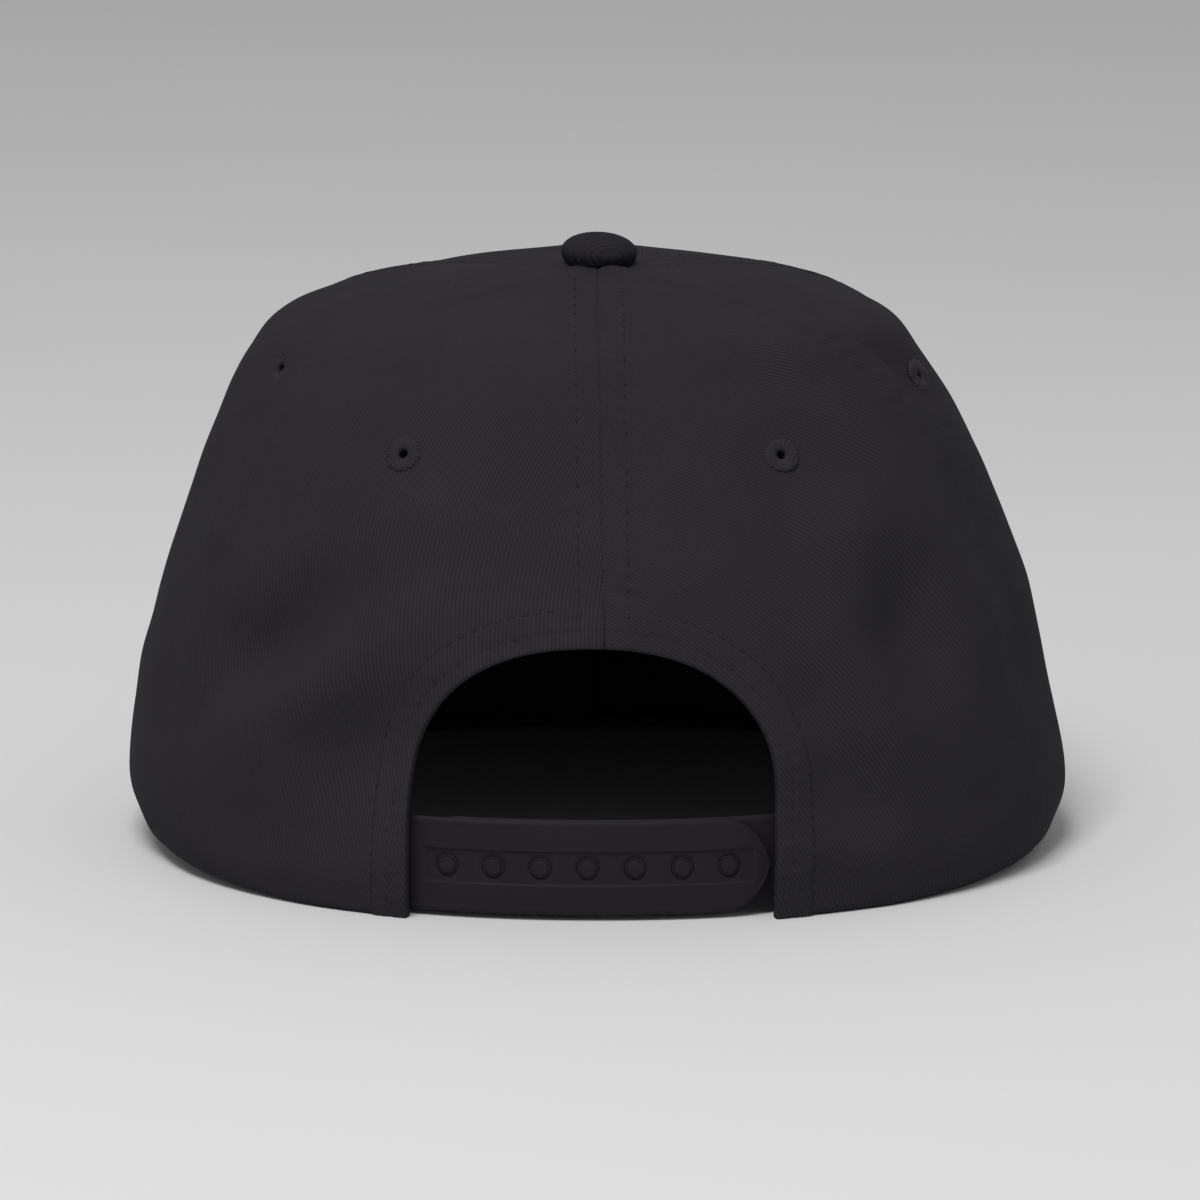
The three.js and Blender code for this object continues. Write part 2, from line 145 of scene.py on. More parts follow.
class NodeTree:
    """The shader nodes of one new material."""

    def __init__(self, name: str) -> None:
        """Starts an empty node tree with its output.

        Args:
            name: the material's name.
        """
        self.material = bpy.data.materials.new(name)
        self.material.use_nodes = True
        self.tree = self.material.node_tree
        self.tree.nodes.clear()
        self.output = self.add("ShaderNodeOutputMaterial")

    def add(self, kind: str, settings: dict | None = None, sockets: dict | None = None) -> bpy.types.Node:
        """Adds a node.

        Args:
            kind: the node's type.
            settings: properties of the node, set first.
            sockets: values or wires of the node's inputs, by name or place.

        Returns:
            The node.
        """
        node = self.tree.nodes.new(kind)
        for name, value in (settings or {}).items():
            setattr(node, name, value)
        for name, value in (sockets or {}).items():
            if isinstance(value, Wire):
                self.tree.links.new(value.socket, node.inputs[name])
            else:
                node.inputs[name].default_value = value
        return node

    def wire(self, kind: str, out: str | int, settings: dict | None = None, sockets: dict | None = None) -> Wire:
        """Adds a node and returns one of its outputs as a wire.

        Args:
            kind: the node's type.
            out: the output's name or place.
            settings: properties of the node.
            sockets: values or wires of its inputs.

        Returns:
            The wire of that output.
        """
        return Wire(self, self.add(kind, settings, sockets).outputs[out])

    def noise(self, place: Wire, scale: float, detail: float = 3.0, roughness: float = 0.55) -> Wire:
        """Returns fractal noise from about 0 to 1 over a place, at a scale in cells per metre."""
        sockets = {"Vector": place, "Scale": scale, "Detail": detail, "Roughness": roughness}
        return self.wire("ShaderNodeTexNoise", "Fac", None, sockets)

    def mix(self, share: Any, first: Any, second: Any) -> Wire:
        """Mixes two colours.

        Args:
            share: how much of the second colour, a number or a wire.
            first: a colour or its wire.
            second: a colour or its wire.

        Returns:
            The wire of the mixed colour.
        """
        return self.wire("ShaderNodeMix", 2, {"data_type": "RGBA"}, {0: share, 6: first, 7: second})

    def bump(self, height: Wire, depth: float, below: Wire | None = None) -> Wire:
        """Turns a height into a surface direction.

        Args:
            height: the height, from 0 to 1.
            depth: what a height of 1 measures, in metres.
            below: the direction that it is laid over.

        Returns:
            The wire of the direction.
        """
        sockets = {"Strength": 1.0, "Distance": depth, "Height": height}
        if below is not None:
            sockets["Normal"] = below
        return self.wire("ShaderNodeBump", 0, None, sockets)

    def shade(self, **sockets: Any) -> bpy.types.Material:
        """Closes the material with its Principled shader.

        Args:
            sockets: values or wires of the shader's inputs, with _ for a space.

        Returns:
            The material.
        """
        named = {name.replace("_", " "): value for name, value in sockets.items()}
        shader = self.add("ShaderNodeBsdfPrincipled", None, named)
        self.tree.links.new(shader.outputs[0], self.output.inputs["Surface"])
        return self.material


def grey(value: float, tint: tuple[float, float, float] = (1.0, 1.0, 1.0)) -> tuple[float, ...]:
    """Returns a linear colour of a grey with a tint."""
    return (value * tint[0], value * tint[1], value * tint[2], 1.0)


class Lay(Enum):
    """What a weave follows: the piece's flat cut, or its place."""

    CUT = "cut"
    PLACE = "place"


@dataclass(frozen=True)
class TwillFinish:
    """Black cotton twill with fine diagonal ribs."""

    lay: Lay = Lay.CUT
    pitch: float = 0.00080
    slant: float = math.radians(26)
    depth: float = 0.00007
    tint: tuple[float, float, float] = (1.03, 0.95, 1.08)
    low: float = 0.0165
    high: float = 0.0345
    name: str = "black_twill"

    def make(self) -> bpy.types.Material:
        """Returns the twill's material."""
        nodes = NodeTree(f"{self.name}_{self.lay.value}")
        coordinate = nodes.add("ShaderNodeTexCoord")
        place = Wire(nodes, coordinate.outputs["Object"])
        cut = Wire(nodes, coordinate.outputs["UV" if self.lay is Lay.CUT else "Object"])
        split = nodes.add("ShaderNodeSeparateXYZ", None, {0: cut})
        across = Wire(nodes, split.outputs[0])
        along = Wire(nodes, split.outputs[1])
        sway = nodes.noise(place, 260.0, 2.0) - 0.5
        rib_place = across * math.cos(self.slant) - along * math.sin(self.slant) + sway * (0.35 * self.pitch)
        run_place = across * math.sin(self.slant) + along * math.cos(self.slant)
        rib_turn = rib_place * (2 * math.pi / self.pitch)
        rib_height_and_valley_shade = rib_turn.sine() * 0.5 + 0.5
        float_turn = run_place * (2 * math.pi / (1.35 * self.pitch)) + rib_turn * 0.5
        floats = float_turn.sine() * 0.5 + 0.5
        fuzz = nodes.noise(place, 3200.0, 3.0, 0.6)
        patches = nodes.noise(place, 38.0, 3.0)
        # The ribs set both the bump and the colour: the colour is darker in the valleys between the wales, which
        # is painted shade in the grooves, and lighter on the worn wale tops.
        weave = (rib_height_and_valley_shade * (0.78 + floats * 0.22) * (0.75 + fuzz * 0.5)).clamped()
        contrast = nodes.noise(place, 55.0, 2.0)
        # Share of the lighter colour: the ribs' painted valley shade and worn tops, plus the cloth's own random
        # patches and fuzz.
        shade = (weave * (0.14 + contrast * 0.56) + patches * 0.34 + (fuzz - 0.5) * 0.55 + 0.10).clamped()
        colour = nodes.mix(shade, grey(self.low, self.tint), grey(self.high, self.tint))
        fibres = nodes.bump(fuzz, 0.5 * self.depth)
        direction = nodes.bump(weave, self.depth, fibres)
        return nodes.shade(
            Base_Color=colour,
            Roughness=0.92 - weave * 0.10,
            Normal=direction,
            Specular_IOR_Level=0.05,
        )


@dataclass(frozen=True)
class ThreadFinish:
    """Twisted sewing thread with a soft shine."""

    low: float = 0.012
    high: float = 0.030
    twist_pitch: float = 0.00045
    name: str = "black_thread"

    def make(self) -> bpy.types.Material:
        """Returns the thread's material."""
        nodes = NodeTree(self.name)
        place = Wire(nodes, nodes.add("ShaderNodeTexCoord").outputs["Object"])
        split = nodes.add("ShaderNodeSeparateXYZ", None, {0: place})
        diagonal = Wire(nodes, split.outputs[0]) + Wire(nodes, split.outputs[2]) + Wire(nodes, split.outputs[1])
        twist = (diagonal * (2 * math.pi / self.twist_pitch)).sine() * 0.5 + 0.5
        fuzz = nodes.noise(place, 3600.0, 2.0)
        shade = (twist * 0.4 + fuzz * 0.6).clamped()
        tint = TwillFinish().tint
        return nodes.shade(
            Base_Color=nodes.mix(shade, grey(self.low, tint), grey(self.high, tint)),
            Roughness=0.55 + fuzz * 0.15,
            Normal=nodes.bump(shade, 0.00007),
            Specular_IOR_Level=0.07,
        )


@dataclass(frozen=True)
class PlasticFinish:
    """Soft black moulded plastic with a fine grain."""

    low: float = 0.0138
    high: float = 0.0176
    name: str = "black_plastic"

    def make(self) -> bpy.types.Material:
        """Returns the plastic's material."""
        nodes = NodeTree(self.name)
        place = Wire(nodes, nodes.add("ShaderNodeTexCoord").outputs["Object"])
        grain = nodes.noise(place, 5200.0, 2.0)
        clouds = nodes.noise(place, 120.0, 3.0)
        rub = nodes.noise(place, 620.0, 4.0, 0.7)
        tint = (1.06, 0.92, 1.12)
        return nodes.shade(
            Base_Color=nodes.mix(clouds, grey(self.low, tint), grey(self.high, tint)),
            Roughness=(0.50 + clouds * 0.10 + rub * 0.12).clamped(),
            Normal=nodes.bump(grain, 0.00002, nodes.bump(rub, 0.00003)),
            Specular_IOR_Level=0.10,
        )


@dataclass(frozen=True)
class FloorFinish:
    """Plain pale studio paper."""

    low: float = 0.70
    high: float = 0.74
    name: str = "studio_paper"

    def make(self) -> bpy.types.Material:
        """Returns the paper's material."""
        nodes = NodeTree(self.name)
        place = Wire(nodes, nodes.add("ShaderNodeTexCoord").outputs["Object"])
        tone = nodes.noise(place, 3.0, 2.0)
        return nodes.shade(
            Base_Color=nodes.mix(tone, grey(self.low), grey(self.high)),
            Roughness=0.9,
            Normal=nodes.bump(nodes.noise(place, 900.0), 0.00004),
        )


# Helpers for meshes


def smooth_step(value: Points, low: float, high: float) -> Points:
    """Returns 0 below low, 1 above high and a smooth rise between them."""
    share = np.clip((value - low) / (high - low), 0.0, 1.0)
    return share * share * (3.0 - 2.0 * share)


def bell(value: Points, width: float) -> Points:
    """Returns a bell curve of a value about 0, with a width at which it has fallen to 0.37."""
    return np.exp(-((value / width) ** 2))


def squared(value: Points, squareness: float) -> Points:
    """Returns the signed power that squares off a circle."""
    return np.sign(value) * np.abs(value) ** (2.0 / squareness)


def unit(vectors: Points) -> Points:
    """Returns the vectors at a length of 1."""
    return vectors / np.maximum(np.linalg.norm(vectors, axis=-1, keepdims=True), 1e-12)


def run_length(points: Points) -> Points:
    """Returns the distance along a row of points at each of them."""
    steps = np.linalg.norm(np.diff(points, axis=0), axis=1)
    return np.concatenate([[0.0], np.cumsum(steps)])


def ripple(points: Points, wavelength: float, seed: int, waves: int = 7) -> Points:
    """Returns a soft random swell over places.

    Args:
        points: places, N x 3.
        wavelength: the usual distance between crests, in metres.
        seed: what the swell is drawn from.
        waves: how many plain waves add up to it.

    Returns:
        A height of about -1 to 1 for each place.
    """
    draw = np.random.default_rng(seed)
    total = np.zeros(len(points))
    for _ in range(waves):
        heading = unit(draw.normal(size=3))
        length = wavelength * draw.uniform(0.7, 1.5)
        total += np.sin(points @ heading * (2 * math.pi / length) + draw.uniform(0, 2 * math.pi))
    return total / math.sqrt(waves)


def jitter(along: Points, wavelength: float, seed: int) -> Points:
    """Returns an uneven wave along a line, of about -1 to 1."""
    return ripple(np.stack([along, 0 * along, 0 * along], axis=1) * 1.7, wavelength, seed)


def spread(values: Points, count: int) -> Points:
    """Returns a table with a row for each value, which repeats it."""
    return np.repeat(values[:, None], count, axis=1)


def sample(distance: Any, along: Points, points: Points) -> Points:
    """Returns the places of a line at distances along it."""
    return np.stack([np.interp(distance, along, points[:, axis]) for axis in range(points.shape[1])], axis=-1)


def mesh_of(shape: bmesh.types.BMesh, name: str) -> bpy.types.Mesh:
    """Turns a bmesh into a mesh.

    Args:
        shape: the bmesh, which is freed.
        name: the mesh's name.

    Returns:
        The mesh.
    """
    mesh = bpy.data.meshes.new(name)
    shape.to_mesh(mesh)
    shape.free()
    return mesh


def grid_mesh(name: str, places: Points, uvs: Points | None = None, flip: bool = False) -> bpy.types.Mesh:
    """Bends a square grid onto places.

    Args:
        name: the mesh's name.
        places: rows x columns x 3, in metres.
        uvs: rows x columns x 2, where each place is on the flat cut.
        flip: whether the faces turn to the other side.

    Returns:
        The mesh.
    """
    rows, columns = places.shape[:2]
    shape = bmesh.new()
    bmesh.ops.create_grid(shape, x_segments=columns - 1, y_segments=rows - 1, size=0.5)
    if flip:
        bmesh.ops.reverse_faces(shape, faces=shape.faces[:])
    mesh = mesh_of(shape, name)
    flat = np.zeros(len(mesh.vertices) * 3, dtype=np.float32)
    mesh.vertices.foreach_get("co", flat)
    square = flat.reshape(-1, 3)
    column = np.rint((square[:, 0] + 0.5) * (columns - 1)).astype(int)
    row = np.rint((square[:, 1] + 0.5) * (rows - 1)).astype(int)
    mesh.vertices.foreach_set("co", places[row, column].astype(np.float32).ravel())
    if uvs is not None:
        corner = np.zeros(len(mesh.loops), dtype=np.int32)
        mesh.loops.foreach_get("vertex_index", corner)
        layer = mesh.uv_layers.new(name="flat_cut")
        layer.data.foreach_set("uv", uvs[row[corner], column[corner]].astype(np.float32).ravel())
    mesh.update()
    return mesh


def spun(profile: list[Vector], steps: int, closed: bool) -> bmesh.types.BMesh:
    """Spins a profile round the upright axis.

    Args:
        profile: its places.
        steps: how many sides the round has.
        closed: whether the profile's end joins its start.

    Returns:
        The round shape.
    """
    shape = bmesh.new()
    verts = [shape.verts.new(place) for place in profile]
    following = verts[1:] + verts[:1] if closed else verts[1:]
    edges = [shape.edges.new(pair) for pair in zip(verts, following)]
    bmesh.ops.spin(
        shape, geom=verts + edges, cent=(0, 0, 0), axis=(0, 0, 1), angle=FULL_TURN,
        steps=steps, use_merge=True, use_duplicate=False,
    )
    bmesh.ops.remove_doubles(shape, verts=shape.verts[:], dist=WELD)
    return shape


def drop_faces(mesh: bpy.types.Mesh, hidden: Any) -> None:
    """Takes faces out of a mesh.

    Args:
        mesh: the mesh.
        hidden: tells for an N x 3 array of face middles which faces go.
    """
    shape = bmesh.new()
    shape.from_mesh(mesh)
    middles = np.array([face.calc_center_median() for face in shape.faces])
    gone = hidden(middles)
    faces = [face for face, away in zip(shape.faces, gone) if away]
    bmesh.ops.delete(shape, geom=faces, context="FACES")
    shape.to_mesh(mesh)
    shape.free()


def close_tube(mesh: bpy.types.Mesh) -> None:
    """Welds the edges of a rolled-up grid, fills its two ends and turns its faces outwards."""
    shape = bmesh.new()
    shape.from_mesh(mesh)
    bmesh.ops.remove_doubles(shape, verts=shape.verts[:], dist=WELD)
    open_edges = [edge for edge in shape.edges if edge.is_boundary]
    bmesh.ops.holes_fill(shape, edges=open_edges, sides=0)
    bmesh.ops.recalc_face_normals(shape, faces=shape.faces[:])
    shape.to_mesh(mesh)
    shape.free()


def settle(piece: bpy.types.Object, sharp: float = math.radians(50)) -> bpy.types.Object:
    """Applies a piece's modifiers and shades it smooth between its sharp edges.

    Args:
        piece: the object.
        sharp: edges that turn more than this stay sharp.

    Returns:
        The object.
    """
    if piece.modifiers:
        graph = bpy.context.evaluated_depsgraph_get()
        made = bpy.data.meshes.new_from_object(piece.evaluated_get(graph))
        made.name = piece.name
        piece.modifiers.clear()
        piece.data = made
    piece.data.shade_smooth()
    piece.data.set_sharp_from_angle(angle=sharp)
    return piece


def make_object(name: str, mesh: bpy.types.Mesh) -> bpy.types.Object:
    """Returns a new object of the scene with that mesh."""
    piece = bpy.data.objects.new(name, mesh)
    bpy.context.scene.collection.objects.link(piece)
    return piece


def thicken(piece: bpy.types.Object, wall: float) -> None:
    """Gives a sheet its wall, away from its outer face."""
    solid = piece.modifiers.new("wall", "SOLIDIFY")
    solid.thickness = wall
    solid.offset = -1.0
    solid.use_even_offset = False


def hand_in(piece: bpy.types.Object, material: bpy.types.Material, slot: Slot, *nodes: str) -> bpy.types.Object:
    """Dresses a finished piece and sets it on the frame.

    Args:
        piece: the object.
        material: its finish.
        slot: the record's slot that the finish belongs to; it is not used.
        nodes: the CAD nodes that it stands for.

    Returns:
        The object.
    """
    piece.data.materials.clear()
    piece.data.materials.append(material)
    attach(piece, BODY)
    if nodes:
        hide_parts(*nodes)
    LOG.info("%s: %d faces", piece.name, len(piece.data.polygons))
    return piece


# Crown surface

# Height as a share of the crown's, and the reach to the left, right, back and front as shares
SECTIONS = np.array([
    [0.00, 1.008, 1.008, 1.000, 1.000],
    [0.10, 1.042, 1.038, 1.016, 1.002],
    [0.30, 1.010, 0.985, 1.010, 0.985],
    [0.46, 0.960, 0.940, 0.965, 0.955],
    [0.61, 0.900, 0.870, 0.890, 0.915],
    [0.74, 0.838, 0.792, 0.800, 0.850],
    [0.85, 0.768, 0.708, 0.715, 0.765],
    [0.93, 0.665, 0.613, 0.610, 0.680],
    [0.98, 0.385, 0.370, 0.360, 0.500],
    [1.00, 0.040, 0.040, 0.040, 0.040],
])
LAST_SECTION = len(SECTIONS) - 1


class Seam(Enum):
    """A seam, with its angle in degrees at each section, from the centre of the back to the left."""

    CENTRE_BACK = (-1.0, -0.9, -0.8, -0.6, -0.5, -0.4, -0.3, -0.2, -0.1, 0.0)
    LEFT_BACK = (63.5, 62.0, 61.5, 62.0, 62.5, 61.0, 57.0, 50.0, 49.0, 52.0)
    LEFT_FRONT = (118.0, 118.0, 118.0, 118.0, 118.0, 119.0, 120.0, 122.0, 122.0, 121.0)
    CENTRE_FRONT = (180.0,) * 10
    RIGHT_FRONT = (242.0, 242.0, 242.0, 242.0, 242.0, 241.0, 240.0, 238.0, 238.0, 239.0)
    RIGHT_BACK = (294.5, 295.0, 294.0, 291.5, 290.0, 292.0, 298.0, 307.0, 310.0, 308.0)


def spline(rows: Points, way: Points) -> Points:
    """Runs a smooth curve through rows of numbers.

    Args:
        rows: the rows, the first at way 0 and the last at way 1.
        way: places from 0 to 1.

    Returns:
        One row for each place.
    """
    last = len(rows) - 1
    place = np.clip(way, 0.0, 1.0) * last
    low = np.floor(place).astype(int)
    share = (place - low)[:, None]
    before, start = rows[np.maximum(low - 1, 0)], rows[low]
    end, beyond = rows[np.minimum(low + 1, last)], rows[np.minimum(low + 2, last)]
    slope, next_slope = (end - before) / 2, (beyond - start) / 2
    cubic = 2 * start - 2 * end + slope + next_slope
    square = -3 * start + 3 * end - 2 * slope - next_slope
    return cubic * share**3 + square * share**2 + slope * share + start


@dataclass(frozen=True)
class Fold:
    """A soft dent or swell of the cloth, long along one heading."""

    angle: float
    section: float
    height: float
    length: float
    breadth: float
    tilt: float


@dataclass(frozen=True)
class Ridge:
    """A broad swell of the crown beside one of its seams, between two ways up."""

    seam: Seam
    beside: float
    height: float
    breadth: float
    low: float
    high: float


@dataclass(frozen=True)
class Dip:
    """A dip of the side panel beyond a seam: a steep near flank and a long far one."""

    seam: Seam
    towards: int
    depth: float
    near: float
    far: float
    low: float
    high: float


@dataclass(frozen=True)
class CrownForm:
    """The crown's outer face, as a point for an angle and a share of the way up."""

    axis: tuple[float, float]
    half_width: float = 94 * MM
    back_reach: float = 80 * MM
    front_reach: float = 84 * MM
    height: float = 119.5 * MM
    squareness: float = 2.1
    wall: float = 2 * MM
    seam_lap: float = 0.12 * MM
    hem_rest_depth: float = 14 * MM
    root_rise: float = 8.5 * MM
    right_sag: float = 1.6 * MM
    root_angle: float = math.radians(118)
    peak_gap: float = 0.4 * MM
    peak_thickness: float = 3 * MM
    peak_reach: float = 70 * MM
    folds: tuple[Fold, ...] = (
        Fold(45.0, 2.85, -5.6, 20, 8.5, -37),
        Fold(37.5, 2.40, 2.2, 22, 7, -38),
        Fold(28.0, 1.82, -4.4, 20, 11, -41),
        Fold(-39.5, 4.15, 1.8, 13, 9, 10),
        Fold(-44.5, 3.00, -5.0, 14, 10.5, 84),
        Fold(-28.0, 2.05, -3.6, 20, 8, 66),
        Fold(-30.0, 1.95, 1.6, 20, 11, 0),
        Fold(-27.0, 1.04, 1.1, 17, 6, 4),
        Fold(46.0, 1.02, -1.1, 28, 7, -4),
        Fold(-70.5, 3.00, -1.6, 30, 8, 88),
        Fold(66.0, 5.20, -1.6, 24, 7, 118),
        Fold(70.0, 2.60, -1.2, 26, 8, 80),
        Fold(20.0, 4.00, 0.8, 34, 22, 10),
        Fold(110.0, 3.60, -1.2, 24, 12, 70),
        Fold(250.0, 3.20, -1.3, 26, 12, 100),
        Fold(128.0, 2.40, 0.8, 30, 14, 30),
        Fold(225.0, 2.60, 0.8, 30, 14, 150),
        Fold(180.0, 8.25, 0.9, 16, 13, 0),
    )

    ridges: tuple[Ridge, ...] = (
        Ridge(Seam.LEFT_BACK, -20, 0.9, 11, 0.56, 0.90),
        Ridge(Seam.RIGHT_BACK, 20, 1.3, 11, 0.56, 0.90),
        Ridge(Seam.CENTRE_BACK, 0, -0.7, 7, 0.54, 0.96),
    )
    dips: tuple[Dip, ...] = (
        Dip(Seam.LEFT_BACK, 1, 1.5, 6, 22, 0.62, 0.94),
        Dip(Seam.RIGHT_BACK, -1, 3.4, 6, 19, 0.62, 0.95),
    )

    @property
    def hem_rest_y(self) -> float:
        """Depth behind which the rim lies flat."""
        return self.back_reach - self.hem_rest_depth

    @property
    def root_y(self) -> float:
        """Depth of the two ends of the peak's root."""
        return float(self.plan_depth(np.array([self.root_angle]))[0])

    @property
    def peak_slope(self) -> float:
        """Fall of the peak towards its front."""
        rise = self.root_rise - self.peak_gap - self.peak_thickness
        return rise / (self.root_y + self.front_reach + self.peak_reach)

    def plan_depth(self, angle: Points) -> Points:
        """Returns the rim's depth at angles."""
        along = squared(np.cos(angle), self.squareness)
        return along * np.where(along >= 0, self.back_reach, self.front_reach)

    def rim_rise(self, angle: Points) -> Points:
        """Returns how far the rim rises above the surface that the cap stands on.

        Args:
            angle: angles in radians.

        Returns:
            The rise in metres.
        """
        y = self.plan_depth(angle)
        root_y = self.root_y
        share = (self.hem_rest_y - y) / (self.hem_rest_y - root_y)
        sag = self.right_sag * np.maximum(0.0, -np.sin(angle)) ** 4
        side = self.root_rise * share - sag * (1 - share)
        front = self.root_rise - self.peak_slope * (root_y - y)
        return np.where(y > self.hem_rest_y, 0.0, np.where(y > root_y, side, front))

    def over_peak(self, angle: Points) -> Points:
        """Returns 1 where the rim stands over the peak's root and 0 beside it."""
        return smooth_step(self.root_y - self.plan_depth(angle), -2 * MM, 2 * MM)

    def bare_point(self, angle: Points, way: Points) -> Points:
        """Places points on the smooth crown.

        Args:
            angle: angles in radians, N.
            way: shares of the way up, N.

        Returns:
            The points, N x 3.
        """
        side = squared(np.sin(angle), self.squareness)
        along = squared(np.cos(angle), self.squareness)
        row = spline(SECTIONS, way)
        x = self.half_width * np.where(side >= 0, row[:, 1], row[:, 2]) * side
        y = np.where(along >= 0, self.back_reach * row[:, 3], self.front_reach * row[:, 4]) * along
        z = self.height * row[:, 0] + self.rim_rise(angle) * (1 - row[:, 0]) ** 2
        return np.stack([x + self.axis[0], y + self.axis[1], z], axis=1)

    def slopes(self, angle: Points, way: Points) -> tuple[Points, Points, Points]:
        """Measures the smooth crown's slopes.

        Args:
            angle: angles in radians, N.
            way: shares of the way up, N.

        Returns:
            The change with the angle, the change with the way, and the direction outwards.
        """
        step = 1e-3
        across = (self.bare_point(angle + step, way) - self.bare_point(angle - step, way)) / (2 * step)
        low = np.maximum(0.0, way - step)
        high = np.minimum(1.0, way + step)
        upward = (self.bare_point(angle, high) - self.bare_point(angle, low)) / (high - low)[:, None]
        return across, upward, unit(np.cross(upward, across))

    def relief(self, points: Points) -> Points:
        """Adds up the folds and the soft unevenness of the cloth.

        Args:
            points: places on the smooth crown, N x 3.

        Returns:
            The height outwards at each, in metres.
        """
        height = 0.22 * MM * ripple(points, 0.034, 5) + 0.12 * MM * ripple(points, 0.016, 8)
        for fold in self.folds:
            angle = np.array([math.radians(fold.angle)])
            way = np.array([fold.section / LAST_SECTION])
            centre = self.bare_point(angle, way)
            across, _, normal = self.slopes(angle, way)
            sideways = unit(across)[0]
            upwards = np.cross(sideways, normal[0])
            upwards = upwards * np.sign(upwards[2] + 1e-9)
            tilt = math.radians(fold.tilt)
            heading = sideways * math.cos(tilt) + upwards * math.sin(tilt)
            flank = -sideways * math.sin(tilt) + upwards * math.cos(tilt)
            away = points - centre
            reach = np.linalg.norm(away, axis=1) > 0.1
            shape = bell(away @ heading, fold.length * MM) * bell(away @ flank, fold.breadth * MM)
            height += np.where(reach, 0.0, fold.height * MM * shape)
        return height

    def seam_swell(self, angle: Points, way: Points, pace: Points) -> Points:
        """Adds up the broad swells along the seams.

        Args:
            angle: angles in radians, N.
            way: shares of the way up, N.
            pace: metres for each radian there, N.

        Returns:
            The height outwards at each, in metres.
        """
        height = np.zeros(len(angle))
        for swell in (*self.ridges, *self.dips):
            turn = (angle - self.seam_angle(swell.seam, way) + math.pi) % FULL_TURN - math.pi
            window = smooth_step(way, swell.low - 0.10, swell.low + 0.10)
            window = window * (1 - smooth_step(way, swell.high - 0.14, swell.high))
            if isinstance(swell, Ridge):
                shape = swell.height * bell(turn * pace - swell.beside * MM, swell.breadth * MM)
            else:
                beyond = turn * pace * swell.towards / MM
                far = 1 - smooth_step(beyond, swell.near, swell.far)
                shape = -swell.depth * smooth_step(beyond, 0.0, swell.near) * far
            height += MM * shape * window
        return height

    def point(self, angle: Points, way: Points, lift: Points | float = 0.0) -> Points:
        """Places points on the folded crown, at a height over its face.

        Args:
            angle: angles in radians, N.
            way: shares of the way up, N.
            lift: height outwards, in metres.

        Returns:
            The points, N x 3.
        """
        bare = self.bare_point(angle, way)
        across, _, normal = self.slopes(angle, way)
        fade = smooth_step(way, 0.0, 0.06) * 0.9 + 0.1
        swell = self.seam_swell(angle, way, np.linalg.norm(across, axis=1))
        height = self.relief(bare) * fade + swell + lift
        return bare + normal * np.asarray(height)[:, None]

    def locate(
        self, target: Points, angle: Points, way: Points, kept: tuple[float, ...] = (1.0, 1.0, 1.0),
    ) -> tuple[Points, Points]:
        """Finds where the smooth crown comes nearest to points.

        Args:
            target: the points, N x 3.
            angle: first guess of the angles.
            way: first guess of the ways.
            kept: how much each axis counts.

        Returns:
            The angles and the ways.
        """
        weight = np.array(kept)
        for _ in range(12):
            miss = (target - self.bare_point(angle, way)) * weight
            across, upward, _ = self.slopes(angle, way)
            across, upward = across * weight, upward * weight
            aa, bb, ab = (across**2).sum(1), (upward**2).sum(1), (across * upward).sum(1)
            am, bm = (across * miss).sum(1), (upward * miss).sum(1)
            spread = np.maximum(aa * bb - ab**2, 1e-18)
            angle = angle + np.clip((bb * am - ab * bm) / spread, -0.2, 0.2)
            way = np.clip(way + np.clip((aa * bm - ab * am) / spread, -0.1, 0.1), 0.0, 1.0)
        return angle, way

    def seam_angle(self, seam: Seam, way: Points) -> Points:
        """Returns a seam's angle in radians at ways up the crown."""
        rows = np.array(seam.value)[:, None]
        return np.radians(spline(rows, way)[:, 0])


# Arch at the back


@dataclass(frozen=True)
class Arch:
    """The opening at the back, and the hem that runs along it."""

    form: CrownForm
    half_width: float = 36.5 * MM
    top: float = 55 * MM
    spring: float = 24 * MM
    squareness: float = 2.3
    offset: float = 1.4 * MM
    samples: int = 480

    def outline(self) -> Points:
        """Returns the opening's edge as x and z, from the foot on the left over the top to the right."""
        turn = np.linspace(0.0, math.pi, self.samples)
        x = self.offset + self.half_width * squared(np.cos(turn), self.squareness)
        z = self.spring + (self.top - self.spring) * squared(np.sin(turn), self.squareness)
        leg = np.linspace(0.0, self.spring, 60)[:-1]
        left = np.stack([np.full_like(leg, self.offset + self.half_width), leg], axis=1)
        right = np.stack([np.full_like(leg, self.offset - self.half_width), leg[::-1]], axis=1)
        return np.concatenate([left, np.stack([x, z], axis=1), right])

    def edge(self) -> tuple[Points, Points, Points]:
        """Lays the outline on the crown.

        Returns:
            The angle and the way of each place, and the distance along the edge.
        """
        flat = self.outline()
        target = np.stack([flat[:, 0] + self.form.axis[0], np.zeros(len(flat)), flat[:, 1]], axis=1)
        angle = np.arcsin(np.clip(flat[:, 0] / self.form.half_width, -1, 1))
        way = np.interp(flat[:, 1] / self.form.height, SECTIONS[:, 0], np.linspace(0, 1, len(SECTIONS)))
        angle, way = self.form.locate(target, angle, way, (1.0, 0.0, 1.0))
        return angle, way, run_length(self.form.bare_point(angle, way))

    def inside(self, points: Points, margin: float) -> Points:
        """Tells which points lie in the opening, or closer to its edge than a margin."""
        flat = np.stack([points[:, 0] - self.form.axis[0], points[:, 2]], axis=1)
        behind = points[:, 1] > self.form.axis[1]
        x = (np.abs(flat[:, 0] - self.offset)) / (self.half_width + margin)
        z = (flat[:, 1] - self.spring) / (self.top - self.spring + margin)
        body = x**self.squareness + np.maximum(z, 0.0) ** self.squareness
        return behind & (body < 1.0)


